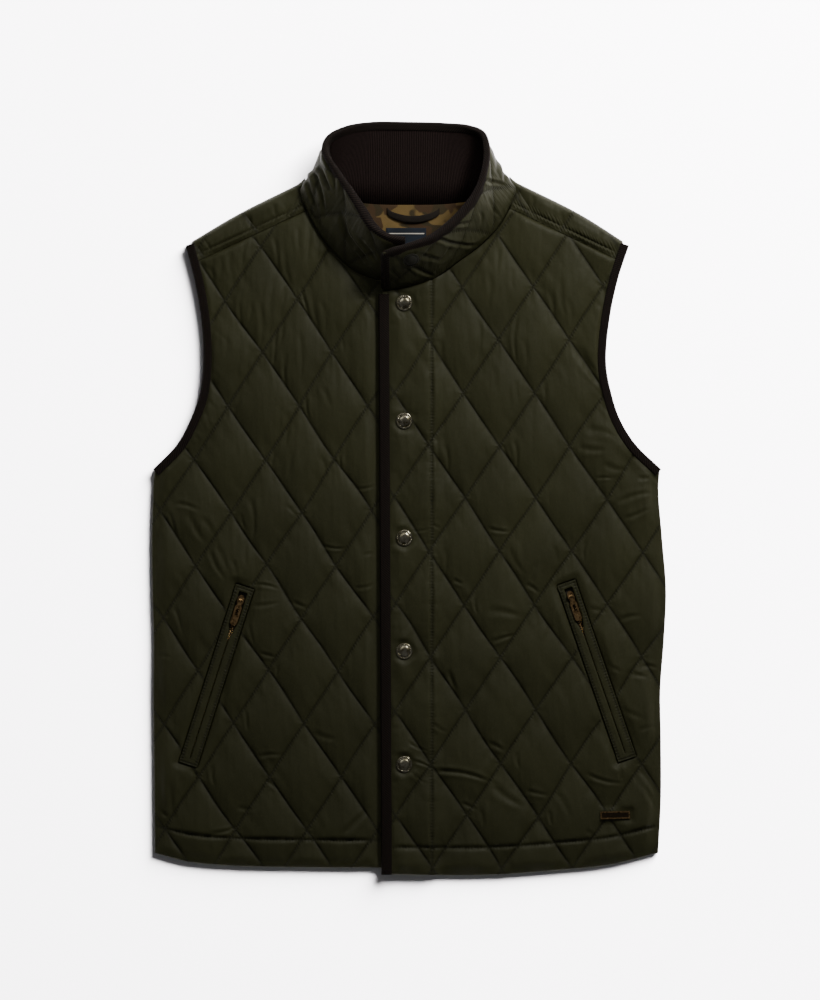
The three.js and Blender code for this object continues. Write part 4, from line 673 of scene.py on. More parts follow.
def gathers(seed, run, pitch, off, reach, height):
    """Cloth gathered along a row of stitches and smoothing out beside it."""
    return height * uneven(seed, run / pitch) * np.exp(-off / reach)


def plate_distance(x, y):
    return np.hypot(np.maximum(np.abs(x - PLATE_AT[0]) - PLATE_HALF[0], 0),
                    np.maximum(np.abs(y - PLATE_AT[1]) - PLATE_HALF[1], 0))


def placket(thick, x, y):
    """The over front's stitched band: gathers and its flat edge in the binding."""
    row_off = np.abs(x - PLACKET_X)
    gather = gathers(93, y, 3.3, row_off, 5, 0.32) + gathers(94, y, 7.9, row_off, 8, 0.3)
    thick = sink(thick + gather, row_off, *ROW_SINK)
    lap_off = x - lap_edge_x(y) + ROLL_OUT
    thick = blend_to(4.0, thick, ease((lap_off - 11) / 12))
    thick = thick + gathers(95, y, 4.7, np.abs(lap_off - 14), 5, 0.35)
    return binding_mouth(thick, lap_off, EDGE_BINDING)


def snap_seats(thick, x, y):
    """Cloth pressed flat under each snap, with folds running out from it."""
    for snap_y in SNAP_YS:
        ring = np.hypot(x - SNAP_X, y - snap_y)
        rays = 0.45 * np.cos(5 * np.arctan2(y - snap_y, x - SNAP_X) + snap_y) * np.exp(-np.abs(ring - 13) / 4)
        pressed = blend_to(SNAP_SEAT - LAP_FLOOR - 0.15, thick + rays, ease((ring - SNAP_RADIUS) / 6))
        thick = np.where(ring < SNAP_RADIUS + 7, pressed, thick + rays)
    bed = plate_distance(x, y)
    return np.where(bed < 8, blend_to(PLATE_SEAT, thick, ease(bed / 7)), thick)


def front_top(side):
    """The height of a front's upper face at any place."""
    lines = {"hem": HEM_LINE[side][::6], "stitches": HEM_STITCHES[side][::6], "side": SIDE[side][::8],
             "neck": NECK[side][::4], "seam": SHOULDER_SEAM[side], "arm": ARMHOLE[side][::4],
             "window": WINDOW_CORNERS[side]}

    def height(x, y):
        pillow, pucker, _, near = quilt_relief(LATTICE[side], x, y, PUCKER_SEED[side])
        off = {name: distance_to(line, x, y) for name, line in lines.items()}
        cover = 1 - ease((x + 46) / 14.5) if side == "right" else 1.0
        thick = STITCH_CLOTH + (PUFF_CLOTH - STITCH_CLOTH) * pillow * cover
        borders = [near, off["hem"] - 3, off["side"] - 2, off["window"], off["neck"]]
        free = np.clip(np.minimum.reduce(borders) / 7, 0, 1)
        thick = thick + pucker * cover
        thick = thick + crease_relief(CREASES[side], x, y) * cover * blend_to(0.45, 1.0, free)
        thick = thick + 0.22 * uneven_field(71, x / 4.2, y / 26) * free * cover
        for line, cloth, reach in (("hem", 2.6, 12), ("side", 1.8, 16), ("window", 3.0, 9)):
            thick = blend_to(cloth, thick, ease(off[line] / reach))
        thick = sink(thick, off["neck"], 3.6, 6.0)
        thick = sink(thick, off["seam"], 1.5, 6.0)
        gather = gathers(91, x, 3.4, off["stitches"], 6, 0.3) + gathers(92, x, 7.5, off["stitches"], 9, 0.25)
        thick = sink(thick + gather, off["stitches"], *ROW_SINK)
        if side == "left":
            thick = placket(thick, x, y)
        thick = thick + gathers(96, x + y, 5.1, np.abs(off["arm"] - 13), 6, 0.4)
        thick = binding_mouth(thick, off["arm"], ARMHOLE_BINDING)
        if side == "left":
            thick = snap_seats(thick, x, y)
        roll = rounded(np.minimum.reduce([off["hem"], off["side"], off["window"]]) / 2.6)
        floor = FRONT_FLOOR + (lift_left(x) if side == "left" else 0.0)
        top = floor + 0.5 + (np.maximum(thick, LEAST_CLOTH) - 0.5) * blend_to(0.25, 1.0, roll)
        return top if side == "left" else np.minimum(top, np.where(x > -34, LAP_FLOOR - 0.3, 99.0))

    return height


# Stitches

def stitch_row(ends, thickness=THREAD):
    """Small rounded stitches, each from one end to the other, laid on the cloth."""
    a, b = ends[:, 0], ends[:, 1]
    length = np.linalg.norm(b - a, axis=1)[:, None]
    along = (b - a) / length
    across = np.cross(along, [0, 0, 1.0])
    across /= np.maximum(np.linalg.norm(across, axis=1)[:, None], 1e-6)
    up = np.cross(across, along)
    angle = np.arange(4) / 4 * 2 * math.pi
    section = across[:, None] * np.cos(angle)[None, :, None] + up[:, None] * np.sin(angle)[None, :, None]
    rings = []
    for share, girth, arch in ((0.0, 0.25, -0.55), (0.14, 0.95, 0.0), (0.5, 1.0, 0.18), (0.86, 0.95, 0.0),
                               (1.0, 0.25, -0.55)):
        centre = a + along * length * share + up * thickness * arch
        rings.append(centre[:, None] + thickness * girth * section)
    points = np.stack(rings, axis=1).reshape(-1, 3)
    size = len(rings) * len(angle)
    one = outward(points[:size], ring_faces(len(rings), len(angle)))
    return points, [[n + k * size for n in f] for k in range(len(ends)) for f in one]


def stitches_on(line, top, pitch=STITCH_PITCH):
    """Ends of the stitches along a line on a panel whose height is top(x, y)."""
    line = np.asarray(line, float)
    run = run_along(line)
    starts = np.arange(0.3 * pitch, run[-1] - pitch, pitch)
    ends = []
    for at in (starts, starts + pitch * STITCH_SHARE):
        x, y = (np.interp(at, run, line[:, k]) for k in (0, 1))
        ends.append(np.column_stack([x, y, top(x, y) + STITCH_RISE]))
    return np.stack(ends, axis=1)


def quilting_stitches(lattice, outline, holes, top, keep_off):
    """Ends of the stitches on every line of the lattice within an outline."""
    span = lattice_span(lattice, outline)
    rows = []
    for family in (0, 1):
        starts = np.arange(*span[1 - family], STITCH_PITCH / DIAMOND_SIDE)
        for line in range(span[family][0], span[family][1] + 1):
            ends = []
            for at in (starts, starts + STITCH_SHARE * STITCH_PITCH / DIAMOND_SIDE):
                place = (np.full_like(at, line), at)
                ends.append(np.column_stack(lattice_point(lattice, *(place if family == 0 else place[::-1]))))
            rows.append(np.stack(ends, axis=1))
    rows = np.concatenate(rows)
    x, y = rows.mean(axis=1).T
    keep = inside(outline, x, y) & keep_off(x, y)
    for hole in holes:
        keep &= ~inside(hole, x, y)
    flat = rows[keep].reshape(-1, 2)
    return np.column_stack([flat, top(*flat.T) + QUILTING_RISE]).reshape(-1, 2, 3)


# Finishes

class Socket:
    """One value of a material, which Python's operators work on."""

    def __init__(self, graph, link):
        self.graph, self.link = graph, link

    def _math(self, operation, *values):
        return self.graph.node("ShaderNodeMath", {"operation": operation}, dict(enumerate(values)))

    def __add__(self, other):
        return self._math("ADD", self, other)

    __radd__ = __add__

    def __sub__(self, other):
        return self._math("SUBTRACT", self, other)

    def __rsub__(self, other):
        return self._math("SUBTRACT", other, self)

    def __mul__(self, other):
        return self._math("MULTIPLY", self, other)

    __rmul__ = __mul__

    def __truediv__(self, other):
        return self._math("DIVIDE", self, other)

    def sine(self):
        return self._math("SINE", self)

    def between(self, low, high):
        """0 at low and 1 at high, clamped."""
        return self.graph.node("ShaderNodeMapRange", {"clamp": True},
                               {"Value": self, "From Min": low, "From Max": high})


class Finish:
    """A material's nodes, made one expression at a time."""

    def __init__(self, name):
        self.material = bpy.data.materials.new(name)
        self.material.use_nodes = True
        self.tree = self.material.node_tree
        self.surface = self.tree.nodes["Principled BSDF"]

    def feed(self, node, sockets):
        """Links a node's sockets, or sets them to plain values."""
        for key, value in sockets.items():
            if isinstance(value, Socket):
                self.tree.links.new(value.link, node.inputs[key])
            else:
                node.inputs[key].default_value = value

    def node(self, kind, settings=None, sockets=None, output=0):
        made = self.tree.nodes.new(kind)
        for key, value in (settings or {}).items():
            setattr(made, key, value)
        self.feed(made, sockets or {})
        return Socket(self, made.outputs[output])

    def set(self, **sockets):
        self.feed(self.surface, {key.replace("_", " "): value for key, value in sockets.items()})

    def place(self, name="cloth"):
        return self.node("ShaderNodeUVMap", {"uv_map": name})

    def position(self):
        return self.node("ShaderNodeTexCoord", output=3)

    def parts(self, vector):
        split = self.node("ShaderNodeSeparateXYZ", sockets={0: vector})
        return [Socket(self, part) for part in split.link.node.outputs]

    def scaled(self, vector, scale):
        return self.node("ShaderNodeVectorMath", {"operation": "MULTIPLY"}, {0: vector, 1: scale})

    def noise(self, vector, scale, detail=3.0, roughness=0.55):
        return self.node("ShaderNodeTexNoise", {},
                         {"Vector": vector, "Scale": scale, "Detail": detail, "Roughness": roughness})

    def color(self, factor, first, second):
        first, second = ((*value, 1.0) if isinstance(value, tuple) else value for value in (first, second))
        return self.node("ShaderNodeMix", {"data_type": "RGBA"}, {"Factor": factor, 6: first, 7: second}, 2)

    def bump(self, height, distance, under=None):
        sockets = {"Height": height, "Distance": distance, "Strength": 1.0}
        if under is not None:
            sockets["Normal"] = under
        return self.node("ShaderNodeBump", {}, sockets)


def shade(tone, share):
    return tuple(c * share for c in tone)


def nylon_finish(name, tone):
    """A fine, slightly glossy shell cloth, with a gathered row of puckers and painted shade at each line of stitches.
    """
    f = Finish(name)
    cloth = f.place()
    run, off, _ = f.parts(f.place("seams"))
    x, y, _ = f.parts(cloth)
    weave = (x * 7.4).sine() * (y * 7.4).sine()
    falling = run.between(OTHER_ROWS / 2, OTHER_ROWS / 2 + 1)
    creasing = f.noise(f.scaled(cloth, (0.12, 0.03, 0.1)), 1.0, 1.0, 0.5)
    small = f.noise(f.scaled(cloth, (0.3, 0.2, 0.1)), 1.0, 2.0, 0.5)
    gathered = (run * (2 * math.pi / STITCH_PITCH)).sine() * (off * -0.3 + 1.0).between(0.0, 1.0)
    gathered = gathered * small.between(0.36, 0.62) * (1.0 - falling * 0.8)
    drift = f.noise(f.scaled(cloth, (0.012, 0.009, 0.01)), 1.0, 2.0)
    body = f.color(drift.between(0.3, 0.7), shade(tone, 0.9), shade(tone, 1.12))
    # Painted shade along each line of stitches, darker on the rows that fall to the right
    painted_seam_shade = (1.0 - (off / 2.4).between(0.0, 1.0)) * (falling * 0.22 + 0.66)
    body = f.color(painted_seam_shade, body, shade(tone, 0.35))
    body = f.color((weave + 1.0) * 0.12, body, shade(tone, 1.5))
    relief = f.bump(small, 0.22 * MM, f.bump(creasing, 0.9 * MM))
    relief = f.bump(gathered, 0.24 * MM, relief)
    f.set(Base_Color=body, Roughness=small * 0.16 + 0.5, Normal=relief, Specular_IOR_Level=0.075)
    return f.material


def corduroy_finish(name, tone, fleck, pitch, slant):
    """Pile cloth: soft, dark and matt, with lighter and reddish fibres along its wales, painted shade in the grooves
    between them and a painted highlight on their crests.
    """
    f = Finish(name)
    cloth = f.place()
    x, y, _ = f.parts(cloth)
    fibres = f.noise(f.scaled(cloth, (2.6, 0.9, 1.0)), 1.0, 4.0, 0.7)
    flecks = f.noise(f.scaled(cloth, (0.9, 0.6, 1.0)), 1.0, 2.0, 0.6).between(0.5, 0.72)
    # Painted shade in the grooves between the wales and a painted highlight on their crests
    wale = ((x + y * slant) * (2 * math.pi / pitch) - math.pi / 2).sine() * 0.5 + 0.5
    body = f.color(wale * wale, shade(tone, 0.2), shade(tone, 2.4))
    body = f.color(fibres.between(0.35, 0.8) * 0.5, body, shade(tone, 1.7))
    body = f.color(flecks * wale * 0.7, body, fleck)
    f.set(Base_Color=body, Roughness=fibres * 0.2 + 0.8, Normal=f.bump(fibres, 0.3 * MM), Specular_IOR_Level=0.04)
    return f.material


def metal_finish(name, dark, bright, wear_scale, roughness, metallic=1.0, shine=0.5):
    """Patinated metal: dark, with lighter patches of wear spread by noise."""
    f = Finish(name)
    place = f.position()
    wear = f.noise(place, wear_scale, 4.0, 0.65)
    fine = f.noise(place, wear_scale * 6, 3.0, 0.6)
    mask = (wear + fine * 0.35).between(0.55, 0.85)
    f.set(Base_Color=f.color(mask, dark, bright), Metallic=metallic, Roughness=(1.0 - mask) * 0.16 + roughness,
          Normal=f.bump(fine, 0.06 * MM), Specular_IOR_Level=shine)
    return f.material


def twill_finish(name, tone, second, scale=1.0, patches=()):
    """Plain woven lining or tape, with a fine diagonal twill, and printed patches where it has them."""
    f = Finish(name)
    place = f.scaled(f.position(), (1000.0, 1000.0, 1000.0))
    x, y, _ = f.parts(place)
    twill = ((x + y) * (3.6 * scale)).sine() * 0.5 + 0.5
    drift = f.noise(f.scaled(place, (0.05, 0.03, 0.05)), 1.0, 2.0).between(0.35, 0.65)
    body = f.color(drift, tone, second)
    for n, patch in enumerate(patches):
        edge = f.noise(f.scaled(place, (0.035 + 0.02 * n, 0.06, 0.05)), 1.0, 1.0, 0.4)
        body = f.color(edge.between(0.475 + 0.045 * n, 0.505 + 0.045 * n), body, patch)
    body = f.color(twill * 0.35, body, shade(tone, 0.55))
    f.set(Base_Color=body, Roughness=twill * 0.1 + 0.66, Normal=f.bump(twill, 0.08 * MM), Specular_IOR_Level=0.08)
    return f.material


quilt = nylon_finish("olive_nylon", (0.0134, 0.0135, 0.0054))
thread = twill_finish("dark_thread", (0.0085, 0.0085, 0.0045), (0.015, 0.0145, 0.0085), 3.0)
wale_cord = corduroy_finish("collar_corduroy", (0.0060, 0.0038, 0.0034), (0.014, 0.009, 0.007), FACING_WALE, 0.0)
bias_cord = corduroy_finish("binding_corduroy", (0.0044, 0.0034, 0.0028), (0.016, 0.008, 0.006),
                            WALE_PITCH, WALE_SLANT)
snap_brass = metal_finish("snap_brass", (0.050, 0.044, 0.024), (0.26, 0.24, 0.18), 260.0, 0.15)
# The collar snap's cap: the same snap as the others, finished dark and matt as painted shade where it faces away from
# the light
snap_dark = metal_finish("snap_dark", (0.0050, 0.0050, 0.0030), (0.0085, 0.0080, 0.0050), 260.0, 0.5, 0.0, 0.1)
aged_brass = metal_finish("aged_brass", (0.032, 0.019, 0.008), (0.34, 0.22, 0.10), 420.0, 0.22)
dark_field = metal_finish("dark_field", (0.008, 0.006, 0.004), (0.020, 0.014, 0.008), 420.0, 0.5)
tan_lining = twill_finish("tan_lining", (0.090, 0.057, 0.019), (0.066, 0.046, 0.016), 1.0,
                          [(0.012, 0.010, 0.005), (0.022, 0.012, 0.006)])
zip_cloth = twill_finish("zip_tape", (0.012, 0.011, 0.007), (0.018, 0.016, 0.010), 2.0)
navy_ribbon = twill_finish("navy_ribbon", (0.005, 0.007, 0.010), (0.008, 0.011, 0.016), 1.6)
pale_ribbon = twill_finish("pale_ribbon", (0.30, 0.28, 0.24), (0.36, 0.33, 0.28), 1.6)
dark_strap = twill_finish("dark_strap", (0.0042, 0.0030, 0.0018), (0.0075, 0.0052, 0.003), 1.2)


# Body panels

def front(side):
    outline, lattice, top = front_outline(side), LATTICE[side], front_top(side)
    bottom = (lambda x, y: FRONT_FLOOR + lift_left(x)) if side == "left" else level(FRONT_FLOOR)
    points, faces = sheet_mesh([outline, WINDOW[side]], lattice_points(lattice, outline, FRONT_POINTS), top, bottom)
    x, y = points[:, 0], points[:, 1]
    extra = [(x, distance_to(HEM_STITCHES[side][::6], x, y))]
    if side == "left":
        extra.append((y, np.abs(x - PLACKET_X)))
    piece = make_piece("front_" + side + "_quilted", points, faces, quilt, "quilt", "front_" + side,
                       points[:, :2], seam_map(lattice, x, y, extra))

    def keep_off(x, y):
        clear = (distance_to(ARMHOLE[side][::4], x, y) > 12.0) & (distance_to(NECK[side][::4], x, y) > 2.0)
        if side == "right":
            return clear & (x < -33.0)
        for snap_y in SNAP_YS:
            clear &= np.hypot(x - SNAP_X, y - snap_y) > SNAP_RADIUS + 2
        return clear & (x > -19.0) & (plate_distance(x, y) > 1.5)

    rows = [quilting_stitches(lattice, outline, [WINDOW[side]], top, keep_off)]
    hem = HEM_STITCHES[side]
    if side == "left":
        hem = hem[hem[:, 0] > -19]
        rows.append(stitches_on([(PLACKET_X, -391), (PLACKET_X, 229)], top))
    else:
        hem = hem[hem[:, 0] < -34]
    rows.append(stitches_on(hem, top))
    make_piece("stitching_front_" + side, *stitch_row(np.concatenate(rows)), thread, "quilt")
    return piece


front_right = front("right")
front_left = front("left")


def back_outline():
    """The back slab's edge, kept inside the armholes' bindings and the shoulders' folds."""
    arms = {s: tucked_armhole(s, 36, 259) for s in SIDES}
    folds = {}
    for s in SIDES:
        fold = FOLD[s] - [0, 5.2]
        folds[s] = fold[(np.abs(fold[:, 0]) < abs(arms[s][-1, 0]) - 2) & (np.abs(fold[:, 0]) > 110)]
    return np.concatenate([line_through(HEM_BACK), SIDE["left"][1:], arms["left"], folds["left"],
                           NECK_BACK[np.abs(NECK_BACK[:, 0]) < 104], folds["right"][::-1], arms["right"][::-1],
                           SIDE["right"][::-1][1:-1]])


def back_bottom(x, y):
    """How far the underside stands up from the surface that the vest lies on."""
    pillow, pucker, _, _ = quilt_relief(BACK_LATTICE, x, y, 23)
    rise = 1.5 * (1 - pillow) - 0.5 * pucker - 0.5 * crease_relief(BACK_CREASES, x, y)
    hem_off = distance_to(HEM_BACK, x, y)
    rim = np.minimum.reduce([hem_off, *(distance_to(SIDE[s][::8], x, y) for s in SIDES)])
    rise = np.maximum(rise, 1.5 * np.exp(-(np.abs(hem_off - HEM_DEPTH) / 2.5) ** 2))
    return np.clip(rise, 0, 2.2) * ease(rim / 8) + 1.5 * (1 - rounded(rim / 3.0))


def shoulder_strip(side):
    """The back's shoulder, folded forward as far as the seam."""
    fold, seam = np.concatenate([FOLD[side], UNDER_COLLAR[side]]), SEAM[side] + [HAND[side] * 0.1, 0.4]
    arm = tucked_armhole(side, SHOULDER_SEAM[side][0][1] + 1.5, 265)
    fold_part = fold[np.abs(fold[:, 0]) < abs(arm[-1, 0]) - 1]
    seam_part = seam[np.abs(seam[:, 0]) < abs(arm[0, 0]) - 1]
    lattice = (HAND[side] * 150.0, 268.0, 0.0)
    fold_line = np.concatenate([FOLD[side][::6], UNDER_COLLAR[side]])

    def top(x, y):
        pillow, pucker, _, _ = quilt_relief(lattice, x, y, 31)
        thick = STITCH_CLOTH + (PUFF_CLOTH - STITCH_CLOTH) * 0.8 * pillow + pucker
        thick = thick + crease_relief(SHOULDER_CREASES, x, y) * 0.8
        seam_off, fold_off = distance_to(SHOULDER_SEAM[side], x, y), distance_to(fold_line, x, y)
        row_off = np.abs(seam_off - 6.5)
        lean = x + HAND[side] * 0.48 * y
        ticks = np.clip(np.sin(2 * math.pi * (lean / 3.0 + 0.5 * uneven(97, lean / 11.0))), -0.2, 1.0)
        reach = 4.5 + 2.5 * uneven(99, lean / 5.0)
        gather = -0.62 * ticks * ease(1.4 - np.maximum(seam_off - 7.5, 0) / reach) * ease(seam_off / 2.5)
        thick = blend_to(3.2, thick, ease(fold_off / 10)) + gathers(98, x, 6.3, row_off, 7, 0.35)
        thick = sink(thick, row_off, 1.7, 4.0)
        thick = blend_to(2.2, thick, ease(seam_off / 5)) + gather
        thick = binding_mouth(thick, distance_to(ARMHOLE[side][::4], x, y), ARMHOLE_BINDING)
        return blend_to(0.8, FRONT_FLOOR + np.maximum(thick, 1.0), rounded(fold_off / 4.5))

    def bottom(x, y):
        return blend_to(0.3, FRONT_FLOOR - 0.1, ease((distance_to(fold_line, x, y) - 4.4) / 0.8))

    return np.concatenate([fold_part, seam_part[::-1], arm]), lattice, top, bottom


back_ring = back_outline()
points, faces = sheet_mesh([back_ring], lattice_points(BACK_LATTICE, back_ring, BACK_POINTS),
                           lambda x, y: -back_bottom(x, y), level(-BACK_CLOTH))
back_parts = [(points * [1, 1, -1], [f[::-1] for f in faces])]
shoulder_rows = []
for side in SIDES:
    def keep_off(x, y):
        return (distance_to(ARMHOLE[side][::4], x, y) > 12) & (distance_to(FOLD[side][::6], x, y) > 5)

    strip, lattice, top, bottom = shoulder_strip(side)
    back_parts.append(sheet_mesh([strip], grid_points(strip, 0.8), top, bottom, (0.4, 1.0, 1.8)))
    row = even_points(np.array(SHOULDER_SEAM[side], float) + [0, 7.2], 2.0)
    row = row[(distance_to(ARMHOLE[side][::4], *row.T) > 12) & (np.abs(row[:, 0]) > 112)]
    shoulder_rows += [stitches_on(row, top), quilting_stitches(lattice, strip, [], top, keep_off)]
points, faces = joined(back_parts)
back = make_piece("back_quilted", points, faces, quilt, "quilt", "back", points[:, :2],
                  seam_map(BACK_LATTICE, points[:, 0], points[:, 1]))
make_piece("stitching_shoulders", *stitch_row(np.concatenate(shoulder_rows)), thread, "quilt")


# Bindings

def binding_section(height, width=EDGE_BINDING, lip=1.15, round_out=2.1):
    """A folded strip's section, out and up: its outside first, from the underside's inner edge round to the top's,
    and then its mouth. It comes with the number of points on its outside."""
    angle = np.linspace(-math.pi / 2, math.pi / 2, 13)
    arc = [(-round_out + round_out * math.cos(a), height / 2 + height / 2 * math.sin(a)) for a in angle]
    under = [(-width, 0.3), (-width + 0.5, 0.05), (-width + 3, 0.0), (-width + 5, 0.0)]
    over = [(x, height - 0.02 * (x + width / 2) ** 2) for x in np.arange(-round_out - 0.5, -width + 0.7, -0.52)]
    over += [(-width + 0.3, height - 0.6), (-width, height - 1.0)]
    mouth = [(-width, height - lip - 0.1), (-1.5, height - lip - 0.1), (-1.5, lip), (-width, lip)]
    return np.array(under + arc + over + mouth), len(under + arc + over)


def swept_binding(at, out, up, section, run):
    """A strip of corduroy cut on the bias, so that its wales cross it at a slant."""
    section, outside = section
    girth = run_along(section)
    heading = unit(np.roll(section, -1, axis=0) - np.roll(section, 1, axis=0))
    normal = np.stack([heading[:, 1], -heading[:, 0]], axis=1)
    wale = WALE_RISE * (np.abs(np.sin(math.pi * (run[:, None] + WALE_SLANT * girth) / WALE_PITCH)) - 0.6)
    wale[:, outside:] = 0
    wale[:, 0] = 0
    shape = section[None] + wale[:, :, None] * normal[None]
    points = (at[:, None] + out[:, None] * shape[:, :, :1] + up[:, None] * shape[:, :, 1:]).reshape(-1, 3)
    maps = np.stack(np.broadcast_arrays(run[:, None], girth[None]), axis=2).reshape(-1, 2)
    return points, outward(points, ring_faces(len(at), len(section))), maps


def corded(node, points, faces, maps):
    return make_piece(node + "_corded", points, faces, bias_cord, "corduroy", node, maps)


def level_frames(line, height, hand, spacing):
    """Places along a flat line at a height, with the directions out of it and up."""
    line = even_points(line, spacing)
    heading = unit(np.gradient(line, axis=0))
    out = np.column_stack([-heading[:, 1] * hand, heading[:, 0] * hand, np.zeros(len(line))])
    up = np.tile([0.0, 0.0, 1.0], (len(line), 1))
    return np.column_stack([line, np.full(len(line), height)]), out, up, np.arange(len(line)) * spacing


for side in SIDES:
    line = ARMHOLE[side]
    tail = line[0] + unit(line[:1] - line[1:2])[0] * 2.0
    head = line[-1] + unit(line[-1:] - line[-2:-1])[0] * -0.6
    line = np.concatenate([[tail], line[:-1], [head]])
    for layer, floor, section, spacing in (
            ("front", FRONT_FLOOR, binding_section(4.6, ARMHOLE_BINDING), 0.6),
            ("back", 0.0, binding_section(BACK_CLOTH, ARMHOLE_BINDING, 0.95), 0.9)):
        at, out, up, run = level_frames(line, floor, -HAND[side], spacing)
        corded("binding_armhole_" + side + "_" + layer,
                                           *swept_binding(at, out, up, section, run))

edge_y = np.linspace(LAP_EDGE[0][1], LAP_EDGE[1][1] - 3, 1020)
at = np.column_stack([lap_edge_x(edge_y) - ROLL_OUT, edge_y, np.full_like(edge_y, LAP_FLOOR)])
out, up = (np.tile(direction, (len(at), 1)) for direction in ([-1.0, 0.0, 0.0], [0.0, 0.0, 1.0]))
edge_binding = corded("binding_front_edge", *swept_binding(at, out, up, binding_section(4.6), edge_y - edge_y[0]))


# Collar

def collar_points(u, v):
    seam, waist, top = (smooth_curve(rows, u) for rows in (COLLAR_SEAM, COLLAR_WAIST, COLLAR_TOP))
    v = np.atleast_1d(v)[:, None]
    s = WAIST_SHARE
    return (seam * ((v - s) * (v - 1)) / s + waist * (v * (v - 1)) / (s * (s - 1)) + top * (v * (v - s)) / (1 - s))


def collar_frames(u, v):
    """Places on the collar's joint surface with their directions: along it, up it and out of it."""
    u, v = (part.ravel() for part in np.broadcast_arrays(np.asarray(u, float), np.asarray(v, float)))
    step = 0.004
    along = unit(collar_points(np.minimum(1, u + step), v) - collar_points(np.maximum(0, u - step), v))
    up = unit(collar_points(u, v + step) - collar_points(u, v - step))
    return collar_points(u, v), along, up, unit(np.cross(along, up))


def collar_lattice(u, v):
    across, along = 18 * u, 2 * v
    return (across + along) / 2, (across - along) / 2


def collar_wall(columns, rows, near, far):
    """A closed wall between two offsets from the joint surface, with its map."""
    u, v = np.meshgrid(np.linspace(0, 1, columns + 1), np.linspace(0, 1, rows + 1), indexing="ij")
    u, v = u.ravel(), v.ravel()
    at, _, _, out = collar_frames(u, v)
    points = np.concatenate([at + out * offset(u, v, at)[:, None] for offset in (near, far)])
    maps = np.tile(np.column_stack([u * MAP_LENGTH, v * MAP_WIDTH]), (2, 1))
    return points, outward(points, wall_faces(columns, rows)), maps, u, v


def shell_outside(u, v, at):
    """How far the outside stands off the joint surface: padding, creases, gathers and the snap's seat."""
    i, j = collar_lattice(u, v)
    borders = ease(v / 0.16) * ease((1 - v) / 0.2) * ease(u / 0.03) * ease((1 - u) / 0.03)
    thick = blend_to(SHELL_MIN, blend_to(SHELL_MIN, SHELL_MAX, puff(i) * puff(j)), borders)
    free = ease(v / 0.1) * ease((1 - v) / 0.12)
    creases = 1.5 * crease_relief(COLLAR_CREASES, at[:, 0], at[:, 1])
    small = 0.24 * uneven_field(55, u * 105, v * 4) * free
    knots = 0.2 * uneven(56, u * 170) * np.exp(-v / 0.08)
    thick = thick + (creases + small) * free + knots * ease(v / 0.04)
    ring = np.linalg.norm(at - collar_points(*COLLAR_SNAP_AT[:2])[0], axis=1)
    thick = np.where(ring < 15, blend_to(COLLAR_SNAP_AT[2] - 0.35, thick, ease((ring - 8.4) / 6.5)), thick)
    return HALF_GAP + np.clip(thick, 1.2, 6.0)


def facing_inside(u, v, at):
    """How far the inside's wales and soft hollows stand off the joint surface."""
    wale = 0.45 * np.abs(np.sin(math.pi * u * MAP_LENGTH / FACING_WALE))
    hollow = 0.5 * uneven_field(58, u * 22, v * 2.5) * ease(v / 0.2) * ease((1 - v) / 0.2)
    return -HALF_GAP - FACING - wale + 0.25 - 0.4 * np.clip(hollow, -1, 0.2)


points, faces, maps, u, v = collar_wall(440, 34, lambda u, v, at: np.full_like(u, HALF_GAP), shell_outside)
near = np.minimum(*(np.abs(c - np.round(c)) * COLLAR_ROWS for c in collar_lattice(u, v)))
seams = np.column_stack([u * MAP_LENGTH, np.minimum(near, v * MAP_WIDTH)])
shell = make_piece("collar_shell_quilted", points, faces, quilt, "quilt", "collar_shell", maps,
                   np.tile(seams, (2, 1)))
points, faces, maps, _, _ = collar_wall(2760, 5, facing_inside, lambda u, v, at: np.full_like(u, -HALF_GAP))
facing = make_piece("collar_facing_corded", points, faces, wale_cord, "corduroy", "collar_facing", maps)


def collar_binding_path():
    """Up the lapping end, round its corner and along the top edge: u, v and the turn from the end to the top."""
    rows = [(0.0, v, 0.0) for v in np.linspace(0.06, 0.88, 60)]
    rows += [(0.022 * (1 - math.cos(t)), 1 - 0.12 * (1 - math.sin(t)), t) for t in np.linspace(0, math.pi / 2, 20)[1:]]
    rows += [(u, 1.0, math.pi / 2) for u in np.linspace(0.022, 1, 1040)[1:]]
    return np.array(rows)


u, v, turn = collar_binding_path().T
at, along, up, out = collar_frames(u, v)
lead = unit(up * np.sin(turn)[:, None] - along * np.cos(turn)[:, None])
# At both sides of the neck the bound edge rolls inwards and shows more of its width
roll = 1 + 0.6 * (np.exp(-((u - 0.15) / 0.09) ** 2) + np.exp(-((u - 0.88) / 0.09) ** 2))
at = at + lead * 1.9 + out * (3.3 - 6.2 * roll)[:, None]
collar_binding = corded("binding_collar", *swept_binding(
    at, lead, out * roll[:, None], binding_section(6.2, 9.0, round_out=2.6), run_along(at)))


# Snaps

def turned(profile, steps):
    """A lathe form round z from its profile of radius and height."""
    angle = np.arange(steps) / steps * 2 * math.pi
    points = np.concatenate([np.column_stack([r * np.cos(angle), r * np.sin(angle), np.full(steps, z)])
                             for r, z in profile])
    return points, outward(points, ring_faces(len(profile), steps))


def snap_cap():
    """A pressed cap: a flat rim, a ring of small beads and a low dome."""
    dome = [(5.9 * math.cos(a), 1.25 + 1.55 * math.sin(a)) for a in np.linspace(0, math.pi / 2 - 0.05, 10)]
    rim = [(7.9, 0.0), (8.45, 0.35), (8.55, 0.75), (8.3, 1.1), (7.7, 1.25), (7.1, 1.0), (6.4, 0.95)]
    bead, bead_faces = turned([(0.46 * math.sin(a), 0.46 * math.cos(a)) for a in np.arange(1, 5) * math.pi / 5], 8)
    around = [2 * math.pi * k / 40 for k in range(40)]
    return joined([turned(rim + dome, 56)]
                  + [(bead + [7.0 * math.cos(a), 7.0 * math.sin(a), 1.15], bead_faces) for a in around])


